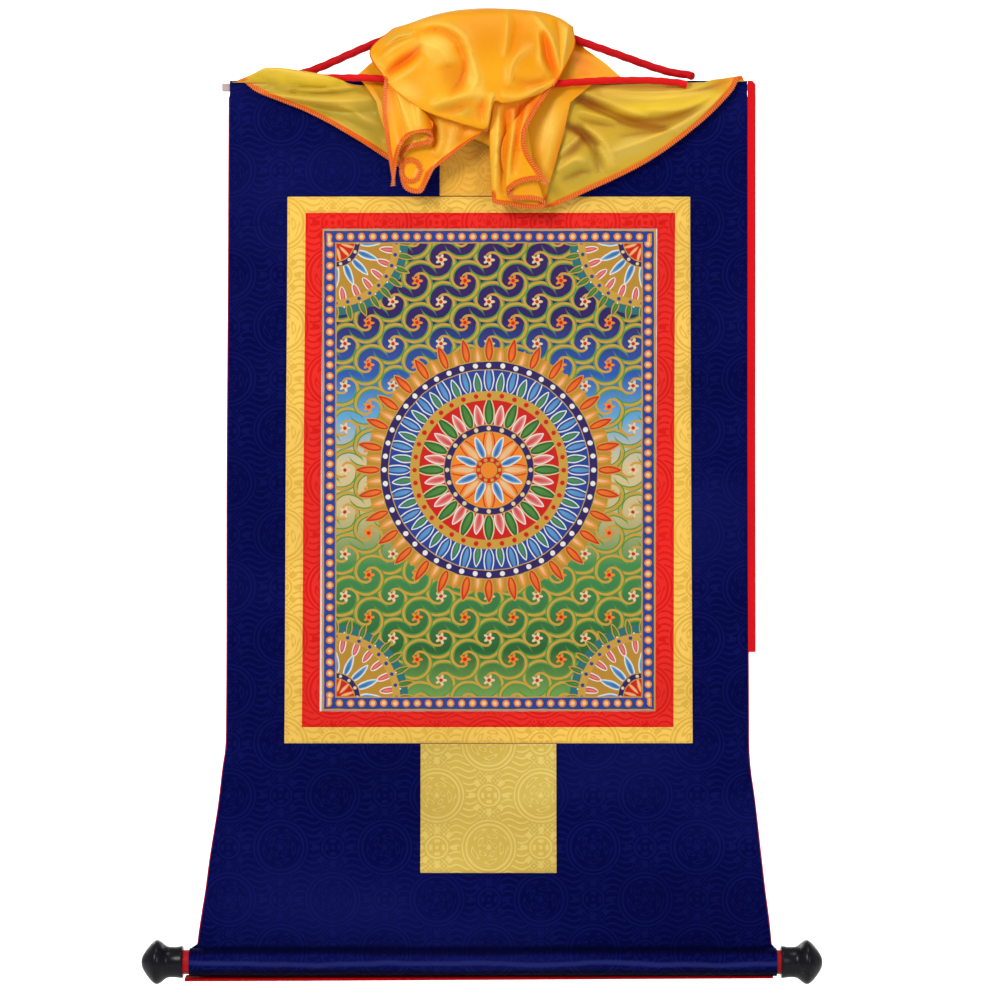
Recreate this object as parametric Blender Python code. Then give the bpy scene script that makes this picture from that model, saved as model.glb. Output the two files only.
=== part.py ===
"""A thangka scroll painting hanging from its cord, with its silk veil lifted over the cord.

The origin is the middle of the cord where it goes over its hook. +Z is up and the front faces -Y.
Lengths in the tables and constants are millimetres, and MM turns them into metres at the end.
"""

import math
from collections import namedtuple

import bmesh
import bpy
from mathutils import Vector

MM = 0.001

# How thick the pieces are, and how far apart they lie.
CLOTH_THICK = 1.3
LINING_THICK = 1.0
PATCH_THICK = 1.0
VEIL_THICK = 1.2
GAP = 0.3

# Heights and half widths on the front, down from the cord.
UPPER_SEAM = -211.0
LOWER_SEAM = -728.0
CALM_ABOVE = -120.0
CALM_BELOW = -885.0
GRID_STEP = 40.0
FINE_STEP = 14.0

# The middle layer of each sheet behind the front face of the navy cloth.
CLOTH_DEPTH = CLOTH_THICK / 2
LINING_DEPTH = CLOTH_THICK + GAP + LINING_THICK / 2
PATCH_DEPTH = -GAP - PATCH_THICK / 2

# The slat in the upper sleeve.
BAR_LEFT, BAR_RIGHT = -267.0, 258.6
BAR_DEEP, BAR_TALL = 4.4, 8.0
BAR_BEHIND, BAR_Z = 4.0, -72.4

# The round stick in the lower sleeve, and the roll of cloth round it.
ROLL_AHEAD, ROLL_Z = 4.0, -946.0
DOWEL_RADIUS = 12.0
DOWEL_LEFT, DOWEL_RIGHT = -322.0, 308.0
SLEEVE_LEFT, SLEEVE_RIGHT = -298.5, 286.8
SLEEVE_SLACK = 0.7
SLEEVE_START, SLEEVE_END, SLEEVE_STEPS = -22.0, 286.0, 15
KNOB_LEFT, KNOB_RIGHT = -305.0, 291.0
TURNED_SIDES = 24

# The tape at the right edge.
TAPE_OUTER = 266.4
TAPE_TOP, TAPE_BOTTOM = -66.0, -637.0

# The cords, and how far behind the cloth's front the hanging cord goes over its hook.
HANGING_CORD = 8.0
TIE_CORD = 7.0
HOOK_BEHIND = 3.0

# How many lines run down the veil.
VEIL_COLUMNS = 54


def table(columns, *rows):
    """Rows with named columns."""
    row = namedtuple("Row", columns)
    return [row(*values) for values in rows]


# Where the navy cloth's side edges run.
EDGES = table(
    "z left right",
    (-64, -259.0, 258.0),
    (-256, -260.0, 258.0),
    (-436, -261.0, 258.0),
    (-728, -262.0, 259.0),
    (-754, -265.4, 260.5),
    (-785, -269.0, 265.0),
    (-843, -278.0, 271.5),
    (-874, -282.0, 275.0),
    (-904, -287.0, 279.0),
    (-931, -291.0, 282.0),
)

# Soft swells of the hanging cloth: forward where height is positive.
SWELLS = table(
    "x z reach_x reach_z height",
    (0, -770, 420, 30, 2.8),
    (-60, -808, 300, 34, -3.2),
    (60, -850, 260, 36, 3.0),
    (205, -800, 90, 60, -2.4),
    (-240, -850, 90, 60, 2.6),
    (-235, -560, 90, 170, 1.6),
    (228, -420, 90, 190, -1.8),
    (228, -640, 90, 100, 1.8),
    (-230, -300, 90, 110, -1.6),
    (0, -450, 190, 260, 2.6),
)

# The corners of the frames and the picture: half widths at their top and bottom edges.
Panel = namedtuple("Panel", "top bottom top_left top_right bottom_left bottom_right")
YELLOW = Panel(-182.0, -728.0, -201.0, 201.0, -203.0, 203.0)
RED = Panel(-198.0, -712.0, -183.0, 186.0, -186.0, 184.0)
PICTURE = Panel(-214.0, -696.0, -166.0, 168.0, -168.4, 166.0)
GOLD_STRIP = Panel(-77.0, -181.0, -49.0, 49.0, -49.0, 49.0)
DOOR_PATCH = Panel(-728.6, -857.0, -68.0, 67.0, -68.0, 67.0)

# The upper sleeve, from the hem behind the bar over its top to the front: depth and height.
UPPER_SLEEVE = table(
    "depth z",
    (3.9, -104.0),
    (4.0, -94.0),
    (5.4, -85.0),
    (7.2, -79.0),
    (7.3, -70.0),
    (6.5, -67.0),
    (4.0, -66.05),
    (1.5, -67.0),
    (0.65, -70.0),
    (0.65, -80.0),
)

# The front cloth drawn in just above the roll.
ROLL_GROOVE = table(
    "depth z",
    (0.65, -905.0),
    (1.4, -918.0),
    (2.8, -928.0),
)

# The lining's way behind the roll to its lip.
LINING_TAIL = table(
    "depth z",
    (2.1, -905.0),
    (3.8, -918.0),
    (6.4, -928.0),
    (9.6, -936.0),
    (11.6, -944.0),
    (11.0, -953.0),
    (7.6, -960.0),
    (3.0, -964.5),
)
LINING_LIP_RISE = 3.0

# A knob's profile, outwards from the face that looks at the cloth.
KNOB_PROFILE = table(
    "out radius",
    (18.5, 0.0),
    (18.5, 12.4),
    (0.0, 12.4),
    (0.0, 14.6),
    (1.6, 16.0),
    (8.0, 15.2),
    (14.5, 15.4),
    (18.0, 17.0),
    (21.0, 19.6),
    (24.0, 21.5),
    (26.5, 22.0),
    (28.6, 21.2),
    (31.5, 18.8),
    (35.0, 14.8),
    (38.4, 10.0),
    (41.0, 5.0),
    (42.0, 0.0),
)

# The roll that the veil makes above its sewn edge, in front of the cords' left ends.
VEIL_CREST = table(
    "across z ahead",
    (0.000, -66.0, 3.0),
    (0.030, -59.5, 8.0),
    (0.050, -55.5, 11.0),
    (0.080, -55.5, 13.0),
    (0.125, -58.5, 14.0),
    (0.165, -62.0, 14.0),
    (0.200, -67.0, 13.0),
    (0.218, -70.5, 9.0),
    (0.240, -72.0, 5.0),
    (0.300, -72.0, 4.0),
    (0.600, -72.0, 4.0),
    (0.800, -71.0, 4.0),
    (0.920, -69.5, 4.0),
    (0.965, -67.0, 4.0),
    (1.000, -62.0, 4.0),
)
CREST_ALONG = 0.035

# The veil from its sewn edge to behind the cord, one row for each section along it.
VEIL_BACK = table(
    "along left_x left_z middle_z right_x right_z ahead forward",
    (0.000, -257, -71, -72, 257, -70, 1.3, 0.0),
    (0.010, -253, -71.5, -73, 255, -71, 1.8, 0.55),
    (0.035, -247, -68, -68, 251, -66, 0.0, 1.0),
    (0.060, -231, -78, -78, 242, -78, 4.0, 0.7),
    (0.120, -182, -98, -88, 210, -110, 7.0, 0.2),
    (0.200, -133, -125, -99, 158, -148, 8.5, 0.0),
    (0.270, -94, -150, -111, 97, -178, 9.0, 0.0),
    (0.320, -80, -159, -126, 56, -194, 12.0, 0.0),
    (0.360, -98, -130, -120, 60, -171, 16.0, 0.0),
    (0.400, -109, -102, -100, 76, -115, 17.0, 0.0),
    (0.430, -115, -81, -80, 88, -76, 12.5, 0.0),
    (0.460, -132, -63, -56, 132, -65, 7.0, 0.0),
    (0.500, -110, -42, -30, 100, -37, -5.0, 0.0),
)

# Where the veil passes behind the cord, and the stations of its falling front.
WRAP_ALONG, WRAP_DROP, WRAP_BEHIND = 0.535, 7.0, 10.2
TOP_ALONG, BROW_ALONG, PUFF_ALONG = 0.57, 0.6, 0.66
POUCH_ALONG, TUCK_ALONG, EAR_ALONG = 0.73, 0.755, 0.85
BROW_X, BROW_AHEAD, BROW_Z = 0.25, 0.55, 0.16
TUCK_RISE = 3.0

# The falling front, a row for each place across it from the left hem to the right: over the
# cord, the puff's middle, its lower edge, the ears below it, and the stitched hem.
VEIL_TOP = table(
    "across x ahead z",
    (0.00, -92, -3, -12.5),
    (0.12, -80, -3, -9),
    (0.25, -58, -3, -1),
    (0.38, -34, -3, 4.4),
    (0.48, -9, -3, 6.6),
    (0.58, 14, -3, 6.4),
    (0.70, 36, -3, 5),
    (0.82, 56, -3, 2),
    (0.92, 72, -3, -4),
    (1.00, 84, -3, -12),
)
VEIL_PUFF = table(
    "across x ahead z",
    (0.00, -119, 10, -39),
    (0.06, -108, 19, -41),
    (0.12, -96, 26, -43),
    (0.25, -65, 33, -47),
    (0.38, -36, 36, -51),
    (0.48, -9, 36, -52),
    (0.58, 14, 35, -51),
    (0.70, 36, 33, -48),
    (0.82, 57, 28, -44),
    (0.92, 72, 20, -39),
    (1.00, 85, 10, -35),
)
VEIL_POUCH = table(
    "across x ahead under z",
    (0.00, -103, 30, 27.5, -68),
    (0.06, -96, 32, 29.5, -76),
    (0.12, -89, 34, 31, -82),
    (0.20, -77, 36, 32, -91),
    (0.28, -64, 37, 28, -99),
    (0.36, -45, 37, 26, -106),
    (0.44, -17, 36, 27, -114),
    (0.48, -2, 34, 27, -115),
    (0.52, 4, 35, 26, -92),
    (0.60, 14, 37, 26, -92),
    (0.70, 28, 36, 25, -90),
    (0.80, 44, 34, 26, -85),
    (0.86, 51, 32, 28, -82),
    (0.92, 59, 31, 28.5, -77),
    (1.00, 67, 29, 27, -72),
)
VEIL_EAR = table(
    "across x ahead z",
    (0.00, -105, 30, -103),
    (0.06, -89, 34, -109),
    (0.12, -69, 34, -111),
    (0.17, -56, 34, -111),
    (0.22, -69, 28, -113),
    (0.28, -87, 23, -115),
    (0.33, -77, 21, -123),
    (0.38, -57, 22, -127),
    (0.43, -33, 24, -125),
    (0.48, -2, 25, -116),
    (0.51, 3, 21, -114),
    (0.55, 1, 28, -125),
    (0.61, 11, 28, -127),
    (0.68, 26, 26, -127),
    (0.74, 40, 24, -127),
    (0.80, 28, 30, -127),
    (0.86, 15, 33, -127),
    (0.92, 23, 36, -126),
    (1.00, 36, 37, -125),
)
VEIL_HEM = table(
    "across x ahead z",
    (0.000, -94.5, 32, -175),
    (0.030, -92.5, 34, -163),
    (0.060, -90, 36, -146),
    (0.090, -85, 37, -133),
    (0.130, -76.3, 37, -124.7),
    (0.170, -64, 36, -122),
    (0.200, -56, 34, -125),
    (0.215, -55.5, 32, -130),
    (0.240, -63, 30, -133.5),
    (0.280, -80, 29, -138),
    (0.300, -86, 28, -145.7),
    (0.325, -88.5, 27, -157),
    (0.350, -87, 26, -169),
    (0.370, -83, 25, -177),
    (0.390, -75, 24, -180.5),
    (0.410, -66, 24, -179.5),
    (0.425, -62, 25, -170),
    (0.440, -57, 26, -159),
    (0.455, -42, 28, -147.6),
    (0.470, -21, 29, -131),
    (0.480, -2, 25, -119),
    (0.500, 5, 20.5, -135),
    (0.520, 8, 20, -160),
    (0.540, 5, 21, -182),
    (0.570, 4, 24, -190),
    (0.620, 19, 25, -193),
    (0.680, 35, 24, -195.5),
    (0.740, 51, 24, -196),
    (0.770, 56, 26.5, -192),
    (0.800, 43, 30, -188),
    (0.840, 25, 31, -188),
    (0.860, 18, 33, -184),
    (0.900, 24, 35, -176),
    (0.940, 35, 36, -170.6),
    (0.980, 52, 35, -169),
    (1.000, 59, 34, -173),
)

# The cords' own routes, by hand: x, depth behind the cloth's front, z.
HANGING_ROUTE = table(
    "x depth z",
    (-200, 3.5, -61.2),
    (-194, 3.4, -60.6),
    (-172, 3.2, -53.6),
    (-140, 3.0, -39.6),
    (-109, 3.0, -26.2),
    (-70, 3.0, -12.4),
    (-34, 3.0, -2.8),
    (0, 3.0, 0.0),
    (34, 3.0, -5.4),
    (60, 3.0, -14.6),
    (89, 3.0, -25.4),
    (130, 3.0, -40.0),
    (168, 3.0, -53.4),
    (186, 1.5, -58.4),
    (196, -2.0, -60.0),
    (203, -7.0, -62.6),
)
TIE_ROUTE = table(
    "x depth z",
    (-200, -4.8, -64.0),
    (-178, -4.8, -63.8),
    (-160, -5.6, -63.8),
    (-146, -7.8, -64.2),
    (-132, -13.6, -64.8),
    (-118, -17.0, -65.6),
    (-104, -18.6, -67.0),
    (-80, -21.0, -68.5),
    (-40, -22.5, -70.5),
    (10, -22.0, -72.0),
    (56, -19.5, -72.0),
    (86, -18.0, -70.0),
    (118, -17.5, -68.2),
    (160, -14.0, -67.6),
    (186, -12.0, -69.4),
    (197, -11.6, -71.0),
)
CORD_SPACING = 14.0


# Colours as linear red, green and blue.
FINISHES = table(
    "name colour rough metallic",
    ("navy_brocade", (0.003, 0.005, 0.085), 0.62, 0.0),
    ("yellow_brocade", (0.87, 0.55, 0.09), 0.55, 0.0),
    ("red_brocade", (0.82, 0.022, 0.018), 0.55, 0.0),
    ("gold_brocade", (0.66, 0.46, 0.06), 0.5, 0.0),
    ("painted_cloth", (0.32, 0.26, 0.2), 0.6, 0.0),
    ("red_lining", (0.5, 0.004, 0.008), 0.7, 0.0),
    ("golden_silk", (0.86, 0.38, 0.015), 0.42, 0.0),
    ("red_cord", (0.62, 0.008, 0.012), 0.55, 0.0),
    ("black_lacquer", (0.004, 0.004, 0.007), 0.22, 0.0),
    ("red_wood", (0.5, 0.006, 0.008), 0.5, 0.0),
    ("pale_wood", (0.55, 0.42, 0.38), 0.6, 0.0),
)


def smooth_step(low, high, value):
    """0 below low, 1 above high, and an even ease between."""
    t = min(1.0, max(0.0, (value - low) / (high - low)))
    return t * t * (3 - 2 * t)


def smooth_between(places, values, at):
    """A smooth curve through values at rising places. Values are numbers or Vectors."""
    if at <= places[0]:
        return values[0]
    if at >= places[-1]:
        return values[-1]
    last = len(places) - 1
    k = next(i for i in range(last) if at <= places[i + 1])

    def slope(i):
        a, b = max(0, i - 1), min(last, i + 1)
        return (values[b] - values[a]) / (places[b] - places[a])

    width = places[k + 1] - places[k]
    t = (at - places[k]) / width
    start, end = slope(k) * width, slope(k + 1) * width
    return (
        values[k] * (2 * t**3 - 3 * t**2 + 1)
        + start * (t**3 - 2 * t**2 + t)
        + values[k + 1] * (3 * t**2 - 2 * t**3)
        + end * (t**3 - t**2)
    )


def column(rows, name, at, place):
    """The smooth value of one named column of a table at a place along another."""
    places = [getattr(row, place) for row in rows]
    return smooth_between(places, [getattr(row, name) for row in rows], at)


def clear_scene():
    """Empties the startup scene."""
    for obj in list(bpy.data.objects):
        bpy.data.objects.remove(obj, do_unlink=True)


def make_materials():
    """One Principled material for each finish."""
    made = {}
    for finish in FINISHES:
        material = bpy.data.materials.new(finish.name)
        material.use_nodes = True
        shader = material.node_tree.nodes["Principled BSDF"]
        shader.inputs["Base Color"].default_value = (*finish.colour, 1.0)
        shader.inputs["Roughness"].default_value = finish.rough
        shader.inputs["Metallic"].default_value = finish.metallic
        made[finish.name] = material
    return made


def add_object(name, data, material):
    """A named object holding the data, with its own copy of the finish."""
    obj = bpy.data.objects.new(name, data)
    obj.location.y = -HOOK_BEHIND * MM
    bpy.context.scene.collection.objects.link(obj)
    own = material.copy()
    own.name = f"{name}_{material.name}"
    data.materials.append(own)
    return obj


def mesh_object(name, shape, material):
    """Turns a bmesh into an object, shaded smooth with its folds over 40 degrees kept sharp."""
    bmesh.ops.recalc_face_normals(shape, faces=shape.faces)
    mesh = bpy.data.meshes.new(name)
    shape.to_mesh(mesh)
    shape.free()
    mesh.shade_smooth()
    mesh.set_sharp_from_angle(angle=math.radians(40))
    return add_object(name, mesh, material)


def cloth_edge(x, z):
    """The x of a place on the cloth, which flares towards its lower edge."""
    side = "left" if x < 0 else "right"
    edge = abs(column(EDGES[::-1], side, z, "z"))
    straight = abs(getattr(EDGES[0], side))
    share = min(1.0, abs(x) / straight)
    return x + math.copysign((edge - straight) * share**3, x)


def swell(x, z):
    """How far the cloth stands forward of its plane at a place."""
    ahead = 0.0
    for row in SWELLS:
        away = ((x - row.x) / row.reach_x) ** 2 + ((z - row.z) / row.reach_z) ** 2
        ahead += row.height * math.exp(-away)
    calm = smooth_step(-CALM_ABOVE - 40, -CALM_ABOVE, -z)
    return ahead * calm * (1 - smooth_step(-CALM_BELOW, -CALM_BELOW + 20, -z))


def on_cloth(x, z, depth):
    """A place on a layer of the hanging cloth that lies depth behind its front."""
    return Vector((cloth_edge(x, z), depth - swell(x, z), z))


def spread(start, end, step):
    """Evenly spaced values from start to end, about a step apart."""
    count = max(1, round(abs(end - start) / step))
    return [start + (end - start) * i / count for i in range(count + 1)]


def merged(*runs):
    """Runs of values joined end to end without their shared ends."""
    values = list(runs[0])
    for run in runs[1:]:
        values.extend(run[1:])
    return values


def normal_at(grid, i, j):
    """The unit normal of a grid of points at one of them."""
    last_i, last_j = len(grid) - 1, len(grid[0]) - 1
    down = grid[min(i + 1, last_i)][j] - grid[max(i - 1, 0)][j]
    across = grid[i][min(j + 1, last_j)] - grid[i][max(j - 1, 0)]
    return across.cross(down).normalized()


def sheet(name, grid, thick, material, kept=lambda i, j: True):
    """A closed sheet of cloth on a grid of points through its middle. kept drops cells of it."""
    shape = bmesh.new()
    last_i, last_j = len(grid) - 1, len(grid[0]) - 1
    sides = ({}, {})
    cells = [(i, j) for i in range(last_i) for j in range(last_j) if kept(i, j)]
    for i, j in cells:
        for place in ((i, j), (i + 1, j), (i, j + 1), (i + 1, j + 1)):
            if place in sides[0]:
                continue
            offset = normal_at(grid, *place) * thick / 2
            for side, way in zip(sides, (1, -1)):
                side[place] = shape.verts.new(grid[place[0]][place[1]] + offset * way)
    kept_cells = set(cells)
    for i, j in cells:
        corners = ((i, j), (i + 1, j), (i + 1, j + 1), (i, j + 1))
        beside = ((i, j - 1), (i + 1, j), (i, j + 1), (i - 1, j))
        shape.faces.new([sides[0][c] for c in corners])
        shape.faces.new([sides[1][c] for c in reversed(corners)])
        for k in range(4):
            if beside[k] in kept_cells:
                continue
            a, b = corners[k], corners[(k + 1) % 4]
            shape.faces.new((sides[0][b], sides[0][a], sides[1][a], sides[1][b]))
    for vert in shape.verts:
        vert.co *= MM
    return mesh_object(name, shape, material)


def build_ground_top(material):
    """The navy panel above the frame, with the sleeve for the bar."""
    side = YELLOW.top_right + GAP
    foot = YELLOW.top + GAP
    xs = merged(
        spread(EDGES[0].left, -side, GRID_STEP),
        spread(-side, side, GRID_STEP),
        spread(side, EDGES[0].right, GRID_STEP),
    )
    upper = spread(UPPER_SLEEVE[-1].z, foot, GRID_STEP)[1:]
    zs = upper + spread(foot, UPPER_SEAM + GAP / 2, GRID_STEP)[1:]
    grid = [[Vector((x, row.depth, row.z)) for x in xs] for row in UPPER_SLEEVE]
    grid += [[on_cloth(x, z, CLOTH_DEPTH) for x in xs] for z in zs]
    notch_row = len(UPPER_SLEEVE) + len(upper) - 1

    def outside_notch(i, j):
        return i < notch_row or abs(xs[j] + xs[j + 1]) / 2 > side

    return sheet("ground_top", grid, CLOTH_THICK, material, outside_notch)


def build_ground_side(name, way, material):
    """The navy panel beside the frame: way is -1 for the left one and 1 for the right."""
    outer = EDGES[0].left if way < 0 else EDGES[0].right
    zs = spread(UPPER_SEAM - GAP / 2, LOWER_SEAM + GAP / 2, GRID_STEP)
    grid = []
    for z in zs:
        down = (YELLOW.top - z) / (YELLOW.top - YELLOW.bottom)
        inner = YELLOW.top_right + (YELLOW.bottom_right - YELLOW.top_right) * down + GAP
        xs = sorted(spread(outer, way * inner, GRID_STEP))
        grid.append([on_cloth(x, z, CLOTH_DEPTH) for x in xs])
    return sheet(name, grid, CLOTH_THICK, material)


def build_ground_bottom(material):
    """The flaring navy panel below the frame, ending in the sleeve round the dowel."""
    xs = spread(EDGES[0].left, EDGES[0].right, GRID_STEP)
    zs = spread(LOWER_SEAM - GAP / 2, ROLL_GROOVE[0].z, FINE_STEP)[:-1]
    grid = [[on_cloth(x, z, CLOTH_DEPTH) for x in xs] for z in zs]
    for row in ROLL_GROOVE:
        grid.append([Vector((cloth_edge(x, row.z), row.depth, row.z)) for x in xs])
    radius = DOWEL_RADIUS + SLEEVE_SLACK + CLOTH_THICK / 2
    middle = (SLEEVE_LEFT + SLEEVE_RIGHT) / 2
    stretch = (SLEEVE_RIGHT - SLEEVE_LEFT) / (xs[-1] - xs[0])
    for angle in spread(SLEEVE_START, SLEEVE_END, (SLEEVE_END - SLEEVE_START) / SLEEVE_STEPS):
        turn = math.radians(angle)
        depth = -ROLL_AHEAD - radius * math.sin(turn)
        z = ROLL_Z + radius * math.cos(turn)
        grid.append([Vector((middle + (x - (xs[0] + xs[-1]) / 2) * stretch, depth, z)) for x in xs])
    return sheet("ground_bottom", grid, CLOTH_THICK, material)


def build_lining(material):
    """The red back cloth, a millimetre wider than the navy one, ending in the lip under the roll."""
    wider = (EDGES[0].right + 1.2) / EDGES[0].right
    xs = spread(EDGES[0].left, EDGES[0].right, GRID_STEP)
    zs = merged(
        spread(-82.0, LOWER_SEAM, GRID_STEP),
        spread(LOWER_SEAM, LINING_TAIL[0].z, FINE_STEP),
    )[:-1]
    grid = [[on_cloth(x, z, LINING_DEPTH) for x in xs] for z in zs]
    for row in LINING_TAIL:
        lip = smooth_step(-LINING_TAIL[4].z, -LINING_TAIL[-1].z, -row.z) * LINING_LIP_RISE
        grid.append(
            [
                Vector((cloth_edge(x, row.z), row.depth, row.z + lip * (x - xs[0]) / (xs[-1] - xs[0])))
                for x in xs
            ]
        )
    for points in grid:
        for point in points:
            point.x *= wider
    return sheet("lining", grid, LINING_THICK, material)


def build_tape(material):
    """The red tape beside the navy cloth's right edge, with its upper outer corner rounded."""
    zs = spread(TAPE_TOP, TAPE_BOTTOM, GRID_STEP)
    grid = []
    for z in zs:
        inner = column(EDGES[::-1], "right", z, "z") + GAP * 2
        outer = TAPE_OUTER - (3.0 if z == zs[0] else 0.0)
        row = []
        for x in (inner, (inner + outer) / 2, outer):
            row.append(Vector((x, CLOTH_DEPTH - swell(EDGES[0].right, z), z)))
        grid.append(row)
    return sheet("side_strip", grid, CLOTH_THICK, material)


def corner_point(panel, right, down):
    """A place in a four-cornered panel: right and down run from 0 to 1."""
    left_x = panel.top_left + (panel.bottom_left - panel.top_left) * down
    right_x = panel.top_right + (panel.bottom_right - panel.top_right) * down
    return left_x + (right_x - left_x) * right, panel.top + (panel.bottom - panel.top) * down


def shrunk(panel, by):
    """The panel, smaller on every side."""
    return Panel(
        panel.top - by,
        panel.bottom + by,
        panel.top_left + by,
        panel.top_right - by,
        panel.bottom_left + by,
        panel.bottom_right - by,
    )


def build_panel(name, panel, depth, thick, step, material):
    """A four-cornered sheet on the hanging cloth, on a grid about a step apart."""
    across = spread(0, 1, GRID_STEP / (panel.top_right - panel.top_left))
    down = spread(0, 1, step / (panel.top - panel.bottom))
    grid = []
    for v in down:
        places = [corner_point(panel, u, v) for u in across]
        grid.append([on_cloth(x, z, depth) for x, z in places])
    return sheet(name, grid, thick, material)


def build_frame(name, outer, inner, material):
    """Four mitred strips between two panels, each a gap short of its neighbours."""
    inner = shrunk(inner, -GAP)
    corners = {"top_left": (0, 0), "top_right": (1, 0), "bottom_right": (1, 1), "bottom_left": (0, 1)}
    order = list(corners)
    for k, side in enumerate(("top", "right", "bottom", "left")):
        start, end = corners[order[k]], corners[order[(k + 1) % 4]]
        ends = [Vector(corner_point(panel, *c)) for panel in (outer, inner) for c in (start, end)]
        along = (ends[1] - ends[0]).normalized()
        slip = along * GAP * 0.75
        outer_start, outer_end = ends[0] + slip, ends[1] - slip
        inner_start, inner_end = ends[2] + slip, ends[3] - slip
        grid = []
        for t in (0.0, 0.5, 1.0):
            row = []
            for s in spread(0, 1, GRID_STEP / (ends[1] - ends[0]).length):
                place = outer_start.lerp(outer_end, s).lerp(inner_start.lerp(inner_end, s), t)
                row.append(on_cloth(place.x, place.y, CLOTH_DEPTH))
            grid.append(row)
        sheet(f"{name}_{side}", grid, CLOTH_THICK, material)


def build_bar(material):
    """The flat slat in the upper sleeve, its long edges rounded."""
    shape = bmesh.new()
    bmesh.ops.create_cube(shape, size=1.0)
    size = ((BAR_RIGHT - BAR_LEFT) * MM, BAR_DEEP * MM, BAR_TALL * MM)
    bmesh.ops.scale(shape, vec=size, verts=shape.verts)
    bmesh.ops.bevel(
        shape,
        geom=list(shape.edges),
        offset=1.2 * MM,
        segments=2,
        affect="EDGES",
        profile=0.5,
    )
    bar = mesh_object("top_bar", shape, material)
    bar.location += Vector(((BAR_LEFT + BAR_RIGHT) / 2, BAR_BEHIND, BAR_Z)) * MM
    return bar


def turned(name, profile, start, way, material):
    """A solid turned about the dowel's line from rows of out and radius, outwards from start."""
    shape = bmesh.new()
    rings = []
    for row in profile:
        ring = []
        for k in range(TURNED_SIDES if row.radius > 0 else 1):
            turn = 2 * math.pi * k / TURNED_SIDES
            depth = -ROLL_AHEAD + row.radius * math.cos(turn)
            z = ROLL_Z + row.radius * math.sin(turn)
            ring.append(shape.verts.new(Vector((start + way * row.out, depth, z)) * MM))
        rings.append(ring)
    for a, b in zip(rings, rings[1:]):
        for k in range(TURNED_SIDES):
            n = (k + 1) % TURNED_SIDES
            corners = [a[k % len(a)], a[n % len(a)], b[n % len(b)], b[k % len(b)]]
            shape.faces.new(list(dict.fromkeys(corners)))
    return mesh_object(name, shape, material)


def build_dowel(material):
    """The round stick through the lower sleeve, its ends inside the knobs."""
    long = DOWEL_RIGHT - DOWEL_LEFT
    profile = table(
        "out radius",
        (0.0, 0.0),
        (0.0, DOWEL_RADIUS - 1),
        (1.0, DOWEL_RADIUS),
        (long - 1.0, DOWEL_RADIUS),
        (long, DOWEL_RADIUS - 1),
        (long, 0.0),
    )
    return turned("bottom_dowel", profile, DOWEL_LEFT, 1, material)


def station(rows, across):
    """The veil's place at one station of its front, at a share across it."""
    return Vector((
        column(rows, "x", across, "across"),
        -column(rows, "ahead", across, "across"),
        column(rows, "z", across, "across"),
    ))


def veil_sections(across):
    """Places along the veil and its points there, for one line from its sewn edge to its hem."""
    belly = math.sin(math.pi * across)
    crest = {name: column(VEIL_CREST, name, across, "across") for name in ("z", "ahead")}
    places, points = [], []
    for row in VEIL_BACK:
        x = row.left_x + (row.right_x - row.left_x) * across
        level = row.left_z + (row.right_z - row.left_z) * across
        level += (row.middle_z - (row.left_z + row.right_z) / 2) * belly
        if row.along == CREST_ALONG:
            level = crest["z"]
        places.append(row.along)
        points.append(Vector((x, -row.ahead - row.forward * crest["ahead"], level)))
    top, puff = station(VEIL_TOP, across), station(VEIL_PUFF, across)
    brow = Vector((
        top.x + (puff.x - top.x) * BROW_X,
        top.y + (puff.y - top.y) * BROW_AHEAD,
        top.z + (puff.z - top.z) * BROW_Z,
    ))
    pouch = station(VEIL_POUCH, across)
    tuck = Vector((pouch.x, -column(VEIL_POUCH, "under", across, "across"), pouch.z + TUCK_RISE))
    places += [WRAP_ALONG, TOP_ALONG, BROW_ALONG, PUFF_ALONG, POUCH_ALONG, TUCK_ALONG, EAR_ALONG, 1.0]
    points += [top + Vector((0, WRAP_BEHIND, -WRAP_DROP)), top, brow, puff, pouch, tuck]
    points += [station(VEIL_EAR, across), station(VEIL_HEM, across)]
    return places, points


def build_veil(material):
    """One sheet, sewn along its upper edge, lifted over the hanging cord and falling in front."""
    lines = [veil_sections(j / (VEIL_COLUMNS - 1)) for j in range(VEIL_COLUMNS)]
    stations = lines[0][0]
    stops = merged(*[(a, (a + b) / 2, b) for a, b in zip(stations, stations[1:])])
    grid = [[smooth_between(places, points, stop) for places, points in lines] for stop in stops]
    return sheet("veil", grid, VEIL_THICK, material)


def build_cord(name, route, thick, material):
    """A round cord along a smooth curve through its route's points."""
    points = [Vector((row.x, row.depth, row.z)) for row in route]
    reached = [0.0]
    for a, b in zip(points, points[1:]):
        reached.append(reached[-1] + (b - a).length)
    stops = spread(0.0, reached[-1], CORD_SPACING)
    curve = bpy.data.curves.new(name, "CURVE")
    curve.dimensions = "3D"
    curve.bevel_depth = thick / 2 * MM
    curve.bevel_resolution = 2
    curve.use_fill_caps = True
    spline = curve.splines.new("POLY")
    spline.points.add(len(stops) - 1)
    for k, stop in enumerate(stops):
        spline.points[k].co = (*(smooth_between(reached, points, stop) * MM), 1.0)
    return add_object(name, curve, material)


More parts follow.
